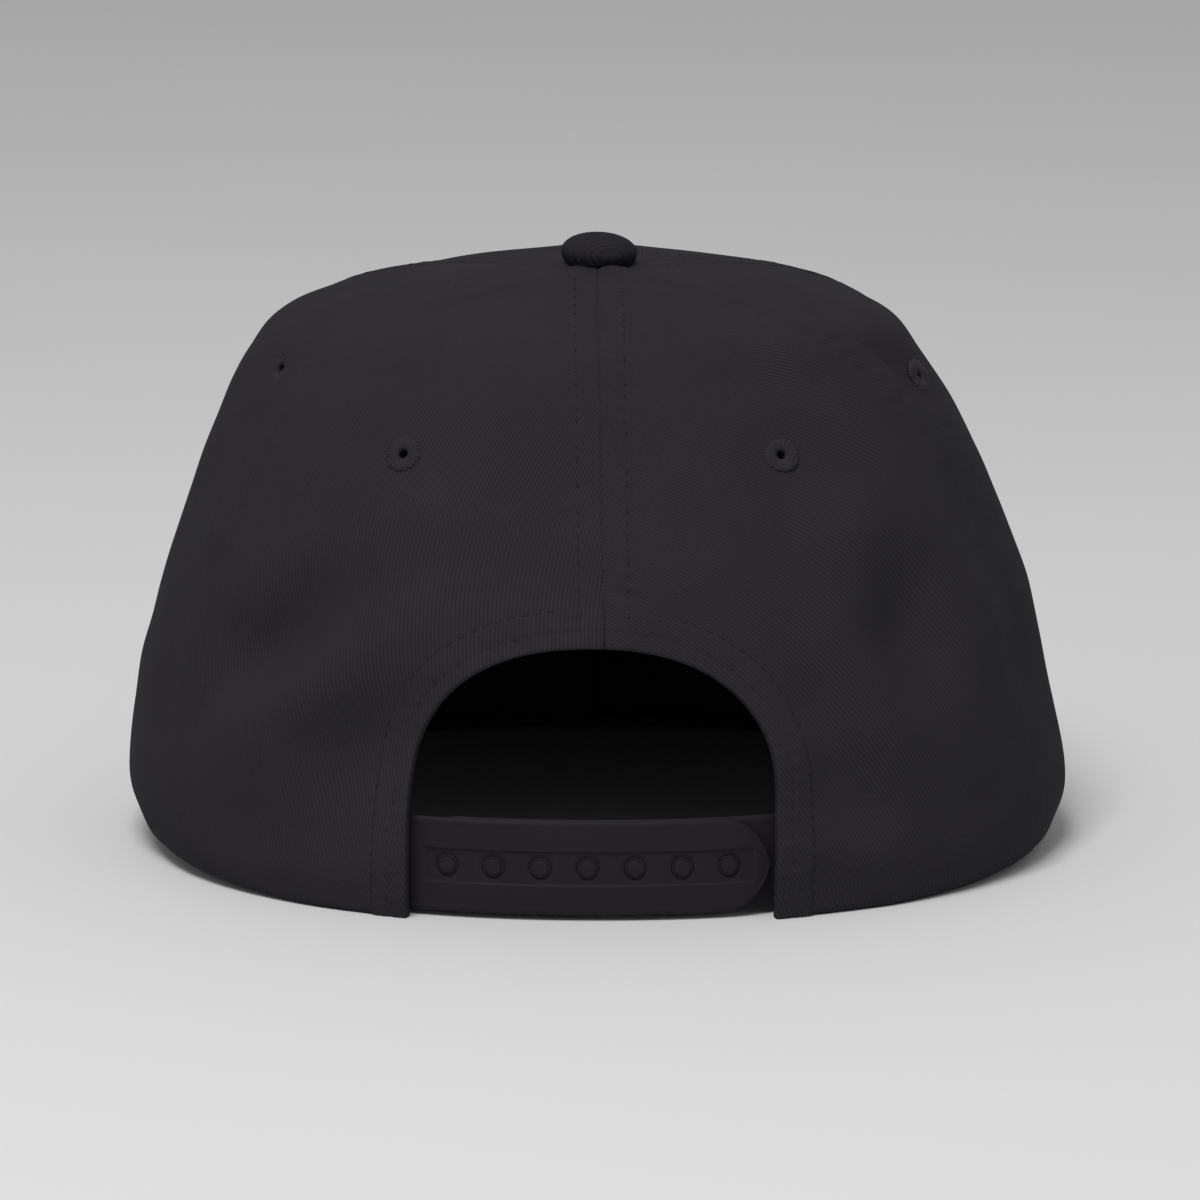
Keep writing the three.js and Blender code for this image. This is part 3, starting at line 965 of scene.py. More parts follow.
@dataclass(frozen=True)
class HemProfile:
    """The fold of cloth along the arch, as places off its edge and heights over the cloth."""

    breadth: float = 8.0 * MM
    rise: float = 0.32 * MM
    turn: float = 0.5 * MM
    inner_row: float = 3.3 * MM
    outer_row: float = 7.6 * MM
    step: float = 0.42 * MM

    def section(self, wall: float) -> tuple[Points, Points]:
        """Draws the closed section.

        Args:
            wall: thickness of the crown's cloth.

        Returns:
            Distances from the edge and heights over the outer face.
        """
        low = -wall - self.rise
        outer = np.arange(self.turn + 0.4 * MM, self.breadth - 0.4 * MM, self.step)
        out_d = [self.breadth + 0.35 * MM, self.breadth + 0.1 * MM, self.breadth - 0.15 * MM, *outer[::-1]]
        out_h = [-0.55 * MM, -0.22 * MM, 0.06 * MM, *np.full(len(outer), self.rise)]
        arc = np.linspace(0.0, math.pi, 11)
        middle = (self.rise + low) / 2
        half = (self.rise - low) / 2
        edge_d = self.turn * (1 - np.abs(np.sin(arc)) ** 0.8)
        edge_h = middle + half * np.sign(np.cos(arc)) * np.abs(np.cos(arc)) ** 0.7
        inner = np.arange(self.turn + 0.8 * MM, self.breadth - 0.4 * MM, 2.2 * self.step)
        in_d = [*inner, self.breadth - 0.1 * MM, self.breadth + 0.35 * MM]
        in_h = [*np.full(len(inner), low), low + 0.1 * MM, -wall + 0.55 * MM]
        distance = np.array([*out_d, *edge_d, *in_d, out_d[0]])
        height = np.array([*out_h, *edge_h, *in_h, out_h[0]])
        return distance, height


# Stitches


@dataclass
class StitchRow:
    """A row of stitches, as small lying threads."""

    pitch: float = SEAM_PITCH
    length: float = 1.75 * MM
    breadth: float = 0.36 * MM
    thickness: float = 0.28 * MM
    probe: float = 0.3 * MM
    shapes: list[bpy.types.Mesh] = field(default_factory=list)

    def add(self, points: Points, normals: Points, skip: float = 0.0) -> None:
        """Lays stitches along a line.

        Args:
            points: the line, N x 3.
            normals: the direction outwards at each point.
            skip: how much of each end stays bare, in metres.
        """
        along = run_length(points)
        count = int((along[-1] - 2 * skip) / self.pitch)
        if count < 1:
            return
        shape = bmesh.new()
        for place in skip + self.pitch * (np.arange(count) + 0.5):
            middle = sample(place, along, points)
            ahead = sample(place + self.probe, along, points)
            back = sample(place - self.probe, along, points)
            outward = sample(place, along, normals)
            heading = Vector(ahead - back).normalized()
            side = Vector(outward).cross(heading).normalized()
            up = heading.cross(side)
            frame3 = Matrix((heading * self.length / 2, side * self.breadth / 2, up * self.thickness / 2))
            turn = frame3.transposed().to_4x4()
            turn.translation = Vector(middle)
            bmesh.ops.create_uvsphere(shape, u_segments=6, v_segments=4, radius=1.0, matrix=turn)
        mesh = mesh_of(shape, "row")
        self.shapes.append(mesh)

    def join(self, name: str) -> bpy.types.Object:
        """Puts all rows in one object.

        Args:
            name: the object's name.

        Returns:
            The object.
        """
        shape = bmesh.new()
        for mesh in self.shapes:
            shape.from_mesh(mesh)
        bmesh.ops.recalc_face_normals(shape, faces=shape.faces[:])
        joined = mesh_of(shape, name)
        for mesh in self.shapes:
            bpy.data.meshes.remove(mesh)
        self.shapes.clear()
        return settle(make_object(name, joined), math.radians(80))


# Crown panels


@dataclass(frozen=True)
class SeamRelief:
    """How the cloth lies beside a seam: rolled in at it, raised over its allowance, dipped at the stitches."""

    groove: float = 0.32 * MM
    groove_width: float = 0.48 * MM
    raised: float = 0.38 * MM
    run_out: float = 1.5 * MM
    row_place: float = 4.9 * MM
    row_depth: float = 0.28 * MM
    row_width: float = 0.50 * MM
    pucker: float = 0.13 * MM
    pitch: float = SEAM_PITCH
    at_rim: float = 1.0

    def share(self, way: Points) -> Points:
        """Returns how much of the relief is left at ways up the crown."""
        return self.at_rim + (1 - self.at_rim) * smooth_step(way, 0.30, 0.58)

    def height(self, distance: Points, along: Points, way: Points, seed: int) -> Points:
        """Returns the height beside a seam.

        Args:
            distance: distance from the seam, in metres.
            along: distance along the seam.
            way: shares of the way up the crown.
            seed: what its puckers are drawn from.

        Returns:
            The height outwards, in metres.
        """
        groove = -self.groove * bell(distance, self.groove_width)
        low, high = self.row_place - 0.2 * MM, self.row_place + self.run_out
        raised = self.raised * (1 - smooth_step(distance, low, high))
        beat = 0.6 + 0.4 * np.cos(2 * math.pi * along / self.pitch)
        row = -self.row_depth * bell(distance - self.row_place, self.row_width) * beat
        fade = bell(distance - self.row_place, 3.4 * MM)
        pucker = self.pucker * fade * jitter(along + 0.35 * distance, 4.4 * MM, seed)
        return (groove + raised + row + pucker) * self.share(way)


PLAIN_SEAM = SeamRelief()
FRONT_SEAM = SeamRelief(groove=0.26 * MM, raised=0.22 * MM)
RELIEFS = {
    Seam.CENTRE_BACK: PLAIN_SEAM,
    Seam.LEFT_FRONT: FRONT_SEAM,
    Seam.CENTRE_FRONT: FRONT_SEAM,
    Seam.RIGHT_FRONT: FRONT_SEAM,
    Seam.LEFT_BACK: SeamRelief(
        groove=0.10 * MM, groove_width=0.9 * MM, raised=0.34 * MM, run_out=2.2 * MM, row_depth=0.12 * MM,
        pucker=0.11 * MM, at_rim=0.30,
    ),
    Seam.RIGHT_BACK: SeamRelief(
        groove=0.20 * MM, groove_width=0.9 * MM, raised=0.48 * MM, run_out=1.9 * MM, row_depth=0.09 * MM,
        pucker=0.15 * MM, at_rim=0.35,
    ),
}


@dataclass(frozen=True)
class PanelPlan:
    """One crown panel between two seams."""

    name: str
    start: Seam
    end: Seam
    eyelet_angle: float
    eyelet_section: float
    cell: float
    seed: int
    bend: float = 0.0
    start_turn: float = 0.0
    end_turn: float = 0.0


PANELS = (
    PanelPlan("back_left", Seam.CENTRE_BACK, Seam.LEFT_BACK, 28.3, 5.1, 0.80 * MM, 11, -7.6),
    PanelPlan("side_left", Seam.LEFT_BACK, Seam.LEFT_FRONT, 67, 6.1, 1.0 * MM, 12),
    PanelPlan("front_left", Seam.LEFT_FRONT, Seam.CENTRE_FRONT, 150, 5.5, 1.2 * MM, 13),
    PanelPlan("front_right", Seam.CENTRE_FRONT, Seam.RIGHT_FRONT, 210, 5.5, 1.2 * MM, 14),
    PanelPlan("side_right", Seam.RIGHT_FRONT, Seam.RIGHT_BACK, 284, 5.8, 0.9 * MM, 15),
    PanelPlan("back_right", Seam.RIGHT_BACK, Seam.CENTRE_BACK, 331.7, 5.1, 0.80 * MM, 16, 6.4, 0.0, FULL_TURN),
)
# Distances of the close columns beside a seam, closest at the seam and at its stitches
EDGE_PLACES = MM * np.array([
    0, 0.25, 0.5, 0.8, 1.2, 1.8, 2.5, 3.2, 3.8, 4.2, 4.5, 4.8, 5.1, 5.4, 5.8, 6.3, 7.0, 7.8, 8.6,
])


@dataclass
class CrownPanel:
    """A cloth panel of the crown, with its folds, seams, eyelet hole and share of the arch."""

    plan: PanelPlan
    form: CrownForm
    arch: Arch
    eyelet_hole: float = 2.3 * MM
    straight: float = 8 * MM
    arch_cut: float = 1.3 * MM
    front_drop: float = 0.75 * MM

    def __post_init__(self) -> None:
        """Works out the rows, and how each lies."""
        probe = np.linspace(0.0, 1.0, 400)
        low, high = self.edges(probe)
        middle = self.form.bare_point((low + high) / 2, probe)
        length = run_length(middle)
        rows = int(length[-1] / self.plan.cell) + 1
        fine = np.array([0.0, 0.25, 0.55, 0.95]) * MM
        up = np.concatenate([fine, np.linspace(1.5 * MM, length[-1], rows)])
        self.way = np.interp(up, length, probe)
        self.climb = up
        self.low, self.high = self.edges(self.way)
        self.low_run, self.low_lean = self._seam_run(self.low)
        self.high_run, self.high_lean = self._seam_run(self.high)
        self._measure_rings()

    def edges(self, way: Points) -> tuple[Points, Points]:
        """Returns the angles of the panel's two edges at ways up the crown."""
        low = self.form.seam_angle(self.plan.start, way) + self.plan.start_turn
        high = self.form.seam_angle(self.plan.end, way) + self.plan.end_turn
        half_lap = self.form.seam_lap / 2
        low_pace = np.linalg.norm(self.form.slopes(low, way)[0], axis=1)
        high_pace = np.linalg.norm(self.form.slopes(high, way)[0], axis=1)
        return low - half_lap / low_pace, high + half_lap / high_pace

    def _seam_run(self, angle: Points) -> tuple[Points, Points]:
        """Measures a seam at the panel's rows.

        Args:
            angle: the seam's angle at each row.

        Returns:
            The distance along it, and the share of a row's length that counts as distance from it.
        """
        points = self.form.bare_point(angle, self.way)
        heading = unit(np.gradient(points, axis=0))
        across = unit(self.form.slopes(angle, self.way)[0])
        lean = np.sqrt(np.clip(1 - (heading * across).sum(1) ** 2, 0.09, 1.0))
        return run_length(points), lean

    def _measure_rings(self) -> None:
        """Measures each row's length, and how the cut's middle line bends on the flat cloth."""
        shares = np.linspace(0.0, 1.0, 33)
        probe = self.low[:, None] + (self.high - self.low)[:, None] * shares
        ways = spread(self.way, len(shares))
        points = self.form.bare_point(probe.ravel(), ways.ravel()).reshape(*probe.shape, 3)
        steps = np.linalg.norm(np.diff(points, axis=1), axis=2)
        self.ring_angles = probe
        self.ring_lengths = np.concatenate([np.zeros((len(steps), 1)), np.cumsum(steps, axis=1)], axis=1)
        self.width = self.ring_lengths[:, -1]
        self.heading = self.plan.bend * np.maximum(0.0, self.climb - self.straight)
        steps = np.diff(self.climb, prepend=0.0)
        self.spine = np.stack([-np.cumsum(np.sin(self.heading) * steps), np.cumsum(np.cos(self.heading) * steps)])

    def column_places(self) -> Points:
        """Returns for each row the distances of the columns from the panel's first edge."""
        band = EDGE_PLACES[-1]
        count = max(4, int((self.width.max() - 2 * band) / self.plan.cell))
        inner = np.linspace(0.0, 1.0, count + 1)[1:-1]
        rows = []
        for width, low_lean, high_lean in zip(self.width, self.low_lean, self.high_lean):
            reach = band * (1 / low_lean + 1 / high_lean)
            fit = min(1.0, 0.8 * width / reach)
            left = EDGE_PLACES / low_lean * fit
            right = width - EDGE_PLACES[::-1] / high_lean * fit
            rows.append(np.concatenate([left, left[-1] + (right[0] - left[-1]) * inner, right]))
        return np.array(rows)

    def cut_place(self, row: Points, place: Points) -> Points:
        """Maps places on the panel to the flat cut.

        Args:
            row: row numbers, which may lie between rows, N.
            place: distances from the first edge, N.

        Returns:
            Places on the flat cut, N x 2, in metres.
        """
        rows = np.arange(len(self.way))
        across = place - np.interp(row, rows, self.width) / 2
        turn = np.interp(row, rows, self.heading)
        side = np.interp(row, rows, self.spine[0]) + across * np.cos(turn)
        up = np.interp(row, rows, self.spine[1]) + across * np.sin(turn)
        return np.stack([side, up], axis=1)

    def cut_of(self, angle: Points, way: Points) -> Points:
        """Maps angles and ways to the flat cut.

        Args:
            angle: angles in radians, N.
            way: shares of the way up, N.

        Returns:
            Places on the flat cut, N x 2.
        """
        row = np.interp(way, self.way, np.arange(len(self.way)))
        near = np.clip(np.rint(row).astype(int), 0, len(self.way) - 1)
        pairs = zip(angle, near)
        place = np.array([np.interp(a, self.ring_angles[n], self.ring_lengths[n]) for a, n in pairs])
        return self.cut_place(row, place)

    def seam_line(self, at_start: bool, distance: float) -> tuple[Points, Points]:
        """Returns a line beside one of the panel's seams, as places and directions outwards.

        Args:
            at_start: whether it is the panel's first seam.
            distance: how far from the seam it runs.

        Returns:
            The points and the normals.
        """
        lean = self.low_lean if at_start else self.high_lean
        relief = RELIEFS[self.plan.start if at_start else self.plan.end]
        room = self.width > 2.6 * distance / lean
        rows = np.nonzero(room)[0]
        offset = distance / lean[rows]
        place = offset if at_start else self.width[rows] - offset
        angle = np.array([np.interp(p, self.ring_lengths[r], self.ring_angles[r]) for r, p in zip(rows, place)])
        way = self.way[rows]
        lift = (0.62 * relief.raised - 0.06 * MM) * relief.share(way)
        return self.form.point(angle, way, lift), self.form.slopes(angle, way)[2]

    def build(self, material: bpy.types.Material) -> bpy.types.Object:
        """Makes the panel.

        Args:
            material: its cloth.

        Returns:
            The object.
        """
        places = self.column_places()
        rows, columns = places.shape
        angle = np.array([np.interp(places[r], self.ring_lengths[r], self.ring_angles[r]) for r in range(rows)])
        way = spread(self.way, columns)
        low_run = spread(self.low_run, columns).ravel()
        high_run = spread(self.high_run, columns).ravel()
        low_distance = (places * self.low_lean[:, None]).ravel()
        high_distance = ((self.width[:, None] - places) * self.high_lean[:, None]).ravel()
        lift = RELIEFS[self.plan.start].height(low_distance, low_run, way.ravel(), self.plan.seed)
        lift += RELIEFS[self.plan.end].height(high_distance, high_run, way.ravel(), self.plan.seed + 40)
        climb = spread(self.climb, columns).ravel()
        lift += -0.7 * MM * bell(climb, 0.6 * MM)
        lift *= 1 - smooth_step(way.ravel(), 0.985, 1.0)
        points = self.form.point(angle.ravel(), way.ravel(), lift)
        points[:, 2] -= self.front_drop * self.form.over_peak(angle.ravel()) * bell(climb, 3 * MM)
        points = points.reshape(rows, columns, 3)
        row_number = spread(np.arange(rows), columns).ravel().astype(float)
        uvs = self.cut_place(row_number, places.ravel()).reshape(rows, columns, 2)
        mesh = grid_mesh(f"cloth_{self.plan.name}", points, uvs, flip=True)
        eyelet = self.eyelet_place()[0]

        def hidden(middles: Points) -> Points:
            """Tells which faces lie in the eyelet's hole or the arch."""
            in_hole = np.linalg.norm(middles - eyelet, axis=1) < self.eyelet_hole
            return in_hole | self.arch.inside(middles, self.arch_cut)

        drop_faces(mesh, hidden)
        piece = make_object(f"cloth_{self.plan.name}", mesh)
        thicken(piece, self.form.wall)
        settle(piece)
        hand_in(piece, material, Slot.TWILL, f"crown_panel_{self.plan.name}")
        return piece

    def flat_size(self) -> tuple[tuple[float, float], float]:
        """Returns the cut's width and length, and its flat area, in metres."""
        area = float(((self.width[1:] + self.width[:-1]) / 2 * np.diff(self.climb)).sum())
        if self.plan.start is Seam.CENTRE_BACK or self.plan.end is Seam.CENTRE_BACK:
            area -= self.arch.half_width * self.arch.top * 0.88
        return (float(self.width.max()), float(self.climb[-1])), area

    def eyelet_place(self) -> tuple[Points, Points]:
        """Returns the eyelet's middle on the cloth, and the direction outwards there."""
        angle = np.radians(self.plan.eyelet_angle) + np.array([0.0, -0.04, 0.04, 0.0, 0.0])
        way = self.plan.eyelet_section / LAST_SECTION + np.array([0.0, 0.0, 0.0, -0.03, 0.03])
        points = self.form.point(angle, way)
        return points[0], unit(np.cross(points[4] - points[3], points[2] - points[1]))


@dataclass
class ArchHem:
    """One side of the folded hem along the arch."""

    side: Side
    panel: CrownPanel
    arch: Arch
    profile: HemProfile = HemProfile()
    cell: float = 0.55 * MM
    row_depth: float = 0.24 * MM
    pitch: float = SEAM_PITCH

    def _edge(self) -> tuple[Points, Points, Points]:
        """Cuts this side's share out of the arch's edge.

        Returns:
            The points, the directions outwards, and the directions away from the opening.
        """
        form = self.arch.form
        angle, way, run = self.arch.edge()
        seam = form.seam_angle(Seam.CENTRE_BACK, way)
        if self.side is Side.LEFT:
            kept = angle > seam
            split = run[kept][-1] + form.seam_lap / 2
            ends = (0.0, split)
        else:
            kept = angle < seam
            split = run[kept][0] - form.seam_lap / 2
            ends = (split, run[-1])
        count = int((ends[1] - ends[0]) / self.cell)
        places = np.linspace(ends[0], ends[1], count)
        angle = np.interp(places, run, angle)
        way = np.interp(places, run, way)
        points = form.bare_point(angle, way)
        normals = form.slopes(angle, way)[2]
        heading = unit(np.gradient(points, axis=0))
        away = unit(np.cross(normals, heading))
        self.guess = (angle, way)
        self.run = places - ends[0]
        return points, normals, away

    def surface(self, distance: Points, height: Points) -> tuple[Points, Points, Points, Points]:
        """Lays places along the hem.

        Args:
            distance: distances from the edge, M.
            height: heights over the cloth, N x M.

        Returns:
            Places, angles and ways, each N x M, and the directions outwards, N x M x 3.
        """
        points, _, away = self._edge()
        form = self.arch.form
        target = points[:, None, :] + away[:, None, :] * distance[None, :, None]
        shape = target.shape[:2]
        guess_angle = spread(self.guess[0], shape[1]).ravel()
        guess_way = spread(self.guess[1], shape[1]).ravel()
        angle, way = form.locate(target.reshape(-1, 3), guess_angle, guess_way)
        lifted = form.point(angle, way, height.ravel())
        normals = form.slopes(angle, way)[2]
        return lifted.reshape(*shape, 3), angle.reshape(shape), way.reshape(shape), normals.reshape(*shape, 3)

    def relief(self, distance: Points, height: Points) -> Points:
        """Adds the dips of the stitch rows and the gathers between them.

        Args:
            distance: distances from the edge, M.
            height: the section's heights, M.

        Returns:
            Heights, N x M.
        """
        rows = len(self.run)
        lift = np.repeat(height[None, :], rows, axis=0)
        outer = (height > -0.1 * MM)[None, :]
        beat = 0.6 + 0.4 * np.cos(2 * math.pi * self.run / self.pitch)[:, None]
        for place in (self.profile.inner_row, self.profile.outer_row):
            lift -= outer * self.row_depth * bell(distance - place, 0.5 * MM)[None, :] * beat
        beside_row = bell(distance - self.profile.inner_row, 2.6 * MM)
        gathers = jitter(self.run, 5.0 * MM, 77)[:, None] * beside_row[None, :]
        from_seam = self.run if self.side is Side.RIGHT else self.run[-1] - self.run
        beside = spread(from_seam, len(distance)).ravel()
        along = np.repeat(distance[None, :], rows, axis=0).ravel()
        seam = PLAIN_SEAM.height(beside, along, np.ones(len(beside)), 78).reshape(rows, len(distance))
        return lift + outer * (0.13 * MM * gathers + seam)

    def build(self, material: bpy.types.Material) -> bpy.types.Object:
        """Makes the hem.

        Args:
            material: its cloth.

        Returns:
            The object.
        """
        distance, height = self.profile.section(self.arch.form.wall)
        self._edge()
        lift = self.relief(distance, height)
        places, angle, way, _ = self.surface(distance, lift)
        turn = FULL_TURN if self.side is Side.RIGHT else 0.0
        uvs = self.panel.cut_of((angle + turn).ravel(), way.ravel()).reshape(*angle.shape, 2)
        mesh = grid_mesh(f"arch_hem_{self.side.value}", places, uvs)
        close_tube(mesh)
        piece = settle(make_object(f"arch_hem_{self.side.value}", mesh))
        return hand_in(piece, material, Slot.TWILL)

    def stitch(self, row: StitchRow) -> None:
        """Sews the hem's two rows."""
        for place in (self.profile.inner_row, self.profile.outer_row):
            distance = np.array([place])
            height = np.full((len(self.run), 1), self.profile.rise - 0.20 * MM)
            points, _, _, normals = self.surface(distance, height)
            row.add(points[:, 0], normals[:, 0], 1 * MM)


# Small parts of the crown

# How far an eyelet's right and upper edges stand over its middle, and how deep it lies in a fold
PLAIN_LEAN = (0.0, -0.24 * MM)
LEANS = {"back_right": (0.34 * MM, -0.34 * MM), "side_right": (-0.25 * MM, 0.25 * MM)}
SUNK = {"side_left": 0.5 * MM}


@dataclass(frozen=True)
class Eyelet:
    """A sewn eyelet: a ring of close radial stitches round a small hole."""

    name: str
    middle: Points
    outward: Points
    radius: float = 3.7 * MM
    hole: float = 0.95 * MM
    barrel: float = 1.9 * MM
    crest: float = 0.64 * MM
    bend: float = 72 * MM
    lean: tuple[float, float] = PLAIN_LEAN
    sunk: float = 0.0
    threads: int = 34
    sides: int = 204
    seed: int = 3

    def build(self, material: bpy.types.Material, wall: float) -> bpy.types.Object:
        """Makes the eyelet.

        Args:
            material: its thread.
            wall: thickness of the crown's cloth.

        Returns:
            The object.
        """
        arc = np.linspace(0.0, math.pi, 13)
        middle = (self.radius + self.hole) / 2
        half = (self.radius - self.hole) / 2
        ring = [Vector((middle - half * math.cos(a), 0.0, self.crest * abs(math.sin(a)) ** 1.15)) for a in arc]
        skirt = [
            Vector((self.radius - 0.25 * MM, 0.0, -0.35 * MM)),
            Vector((self.barrel, 0.0, -0.35 * MM)),
            Vector((self.barrel, 0.0, -wall - 0.2 * MM)),
            Vector((self.hole + 0.2 * MM, 0.0, -wall - 0.2 * MM)),
            Vector((self.hole, 0.0, -wall)),
        ]
        shape = spun(ring + skirt, self.sides, closed=True)
        self._sew(shape)
        bmesh.ops.recalc_face_normals(shape, faces=shape.faces[:])
        turn = Vector(self.outward).to_track_quat("Z", "Y").to_matrix().to_4x4()
        place = Vector(self.middle) - Vector(self.outward) * self.sunk
        bmesh.ops.transform(shape, matrix=Matrix.Translation(place) @ turn, verts=shape.verts[:])
        mesh = mesh_of(shape, f"thread_{self.name}")
        piece = settle(make_object(f"thread_{self.name}", mesh), math.radians(75))
        return hand_in(piece, material, Slot.THREAD, self.name)

    def _sew(self, shape: bmesh.types.BMesh) -> None:
        """Raises the ring's radial threads, each a little longer or shorter than the next."""
        draw = np.random.default_rng(self.seed)
        reach = draw.uniform(-0.32, 0.20, self.threads) * MM
        swell = draw.uniform(0.75, 1.15, self.threads)
        for vert in shape.verts:
            radius = math.hypot(vert.co.x, vert.co.y)
            if vert.co.z < -0.3 * MM:
                continue
            vert.co.z += (vert.co.x * self.lean[0] + vert.co.y * self.lean[1]) / self.radius
            vert.co.z -= radius**2 / (2 * self.bend)
            turn = math.atan2(vert.co.y, vert.co.x) / FULL_TURN % 1.0 * self.threads
            number = int(turn) % self.threads
            ridge = math.sin(math.pi * (turn - int(turn))) ** 0.7
            outer = max(0.0, (radius - self.hole) / (self.radius - self.hole))
            grown = 1 + reach[number] * outer * ridge / max(radius, self.hole)
            vert.co.x *= grown
            vert.co.y *= grown
            vert.co.z += (ridge - 0.55) * 0.24 * MM * swell[number] * (0.3 + outer)


@dataclass(frozen=True)
class TopButton:
    """The cloth-covered button, with its cover drawn in under it."""

    axis: tuple[float, float]
    base: float
    radius: float = 7.9 * MM
    height: float = 6.4 * MM
    widest: float = 2.4 * MM
    tuck: float = 1.35 * MM
    stem: float = 2.2 * MM
    stem_length: float = 3.6 * MM
    tilt: float = math.radians(-2.5)
    sides: int = 176
    folds: int = 26

    def build(self, material: bpy.types.Material) -> bpy.types.Object:
        """Makes the button.

        Args:
            material: its cloth.

        Returns:
            The object.
        """
        rise = self.height - self.widest
        dome = [
            Vector((self.radius * math.cos(a) ** 0.93, 0, self.widest + rise * math.sin(a)))
            for a in np.linspace(0, math.pi / 2, 26)[:-1]
        ]
        skirt = [
            Vector((self.radius - self.tuck * s**1.6, 0, self.widest - (self.widest + 0.35 * MM) * s))
            for s in np.linspace(0, 1, 12)[1:]
        ]
        under = [
            Vector((0.62 * self.radius, 0, -0.30 * MM)),
            Vector((self.stem, 0, -0.20 * MM)),
            Vector((self.stem, 0, -self.stem_length)),
            Vector((0, 0, -self.stem_length)),
        ]
        profile = [Vector((0, 0, self.height)), *dome[::-1], *skirt, *under]
        shape = spun(profile, self.sides, closed=False)
        self._gather(shape)
        bmesh.ops.recalc_face_normals(shape, faces=shape.faces[:])
        bmesh.ops.rotate(shape, verts=shape.verts[:], cent=(0, 0, 0), matrix=Matrix.Rotation(self.tilt, 3, "Y"))
        bmesh.ops.translate(shape, verts=shape.verts[:], vec=(*self.axis, self.base))
        mesh = mesh_of(shape, "cloth_button")
        piece = settle(make_object("cloth_button", mesh))
        return hand_in(piece, material, Slot.TWILL, "top_button")

    def _gather(self, shape: bmesh.types.BMesh) -> None:
        """Draws the cover into small folds towards its underside."""
        draw = np.random.default_rng(21)
        phases = draw.uniform(0, FULL_TURN, 3)
        for vert in shape.verts:
            radius = math.hypot(vert.co.x, vert.co.y)
            if radius < 0.3 * self.radius or vert.co.z < -0.32 * MM - 1e-6 and radius < self.stem * 1.1:
                continue
            turn = math.atan2(vert.co.y, vert.co.x)
            low = 1 - min(1.0, max(0.0, vert.co.z / (self.widest * 1.25)))
            uneven = 0.6 + 0.4 * math.sin(3 * turn + phases[0])
            fold = math.sin(self.folds * turn + 1.3 * math.sin(5 * turn + phases[1]))
            swell = 1 + (0.035 * fold * uneven * low**1.2) + 0.006 * math.sin(2 * turn + phases[2])
            vert.co.x *= swell
            vert.co.y *= swell


# Peak


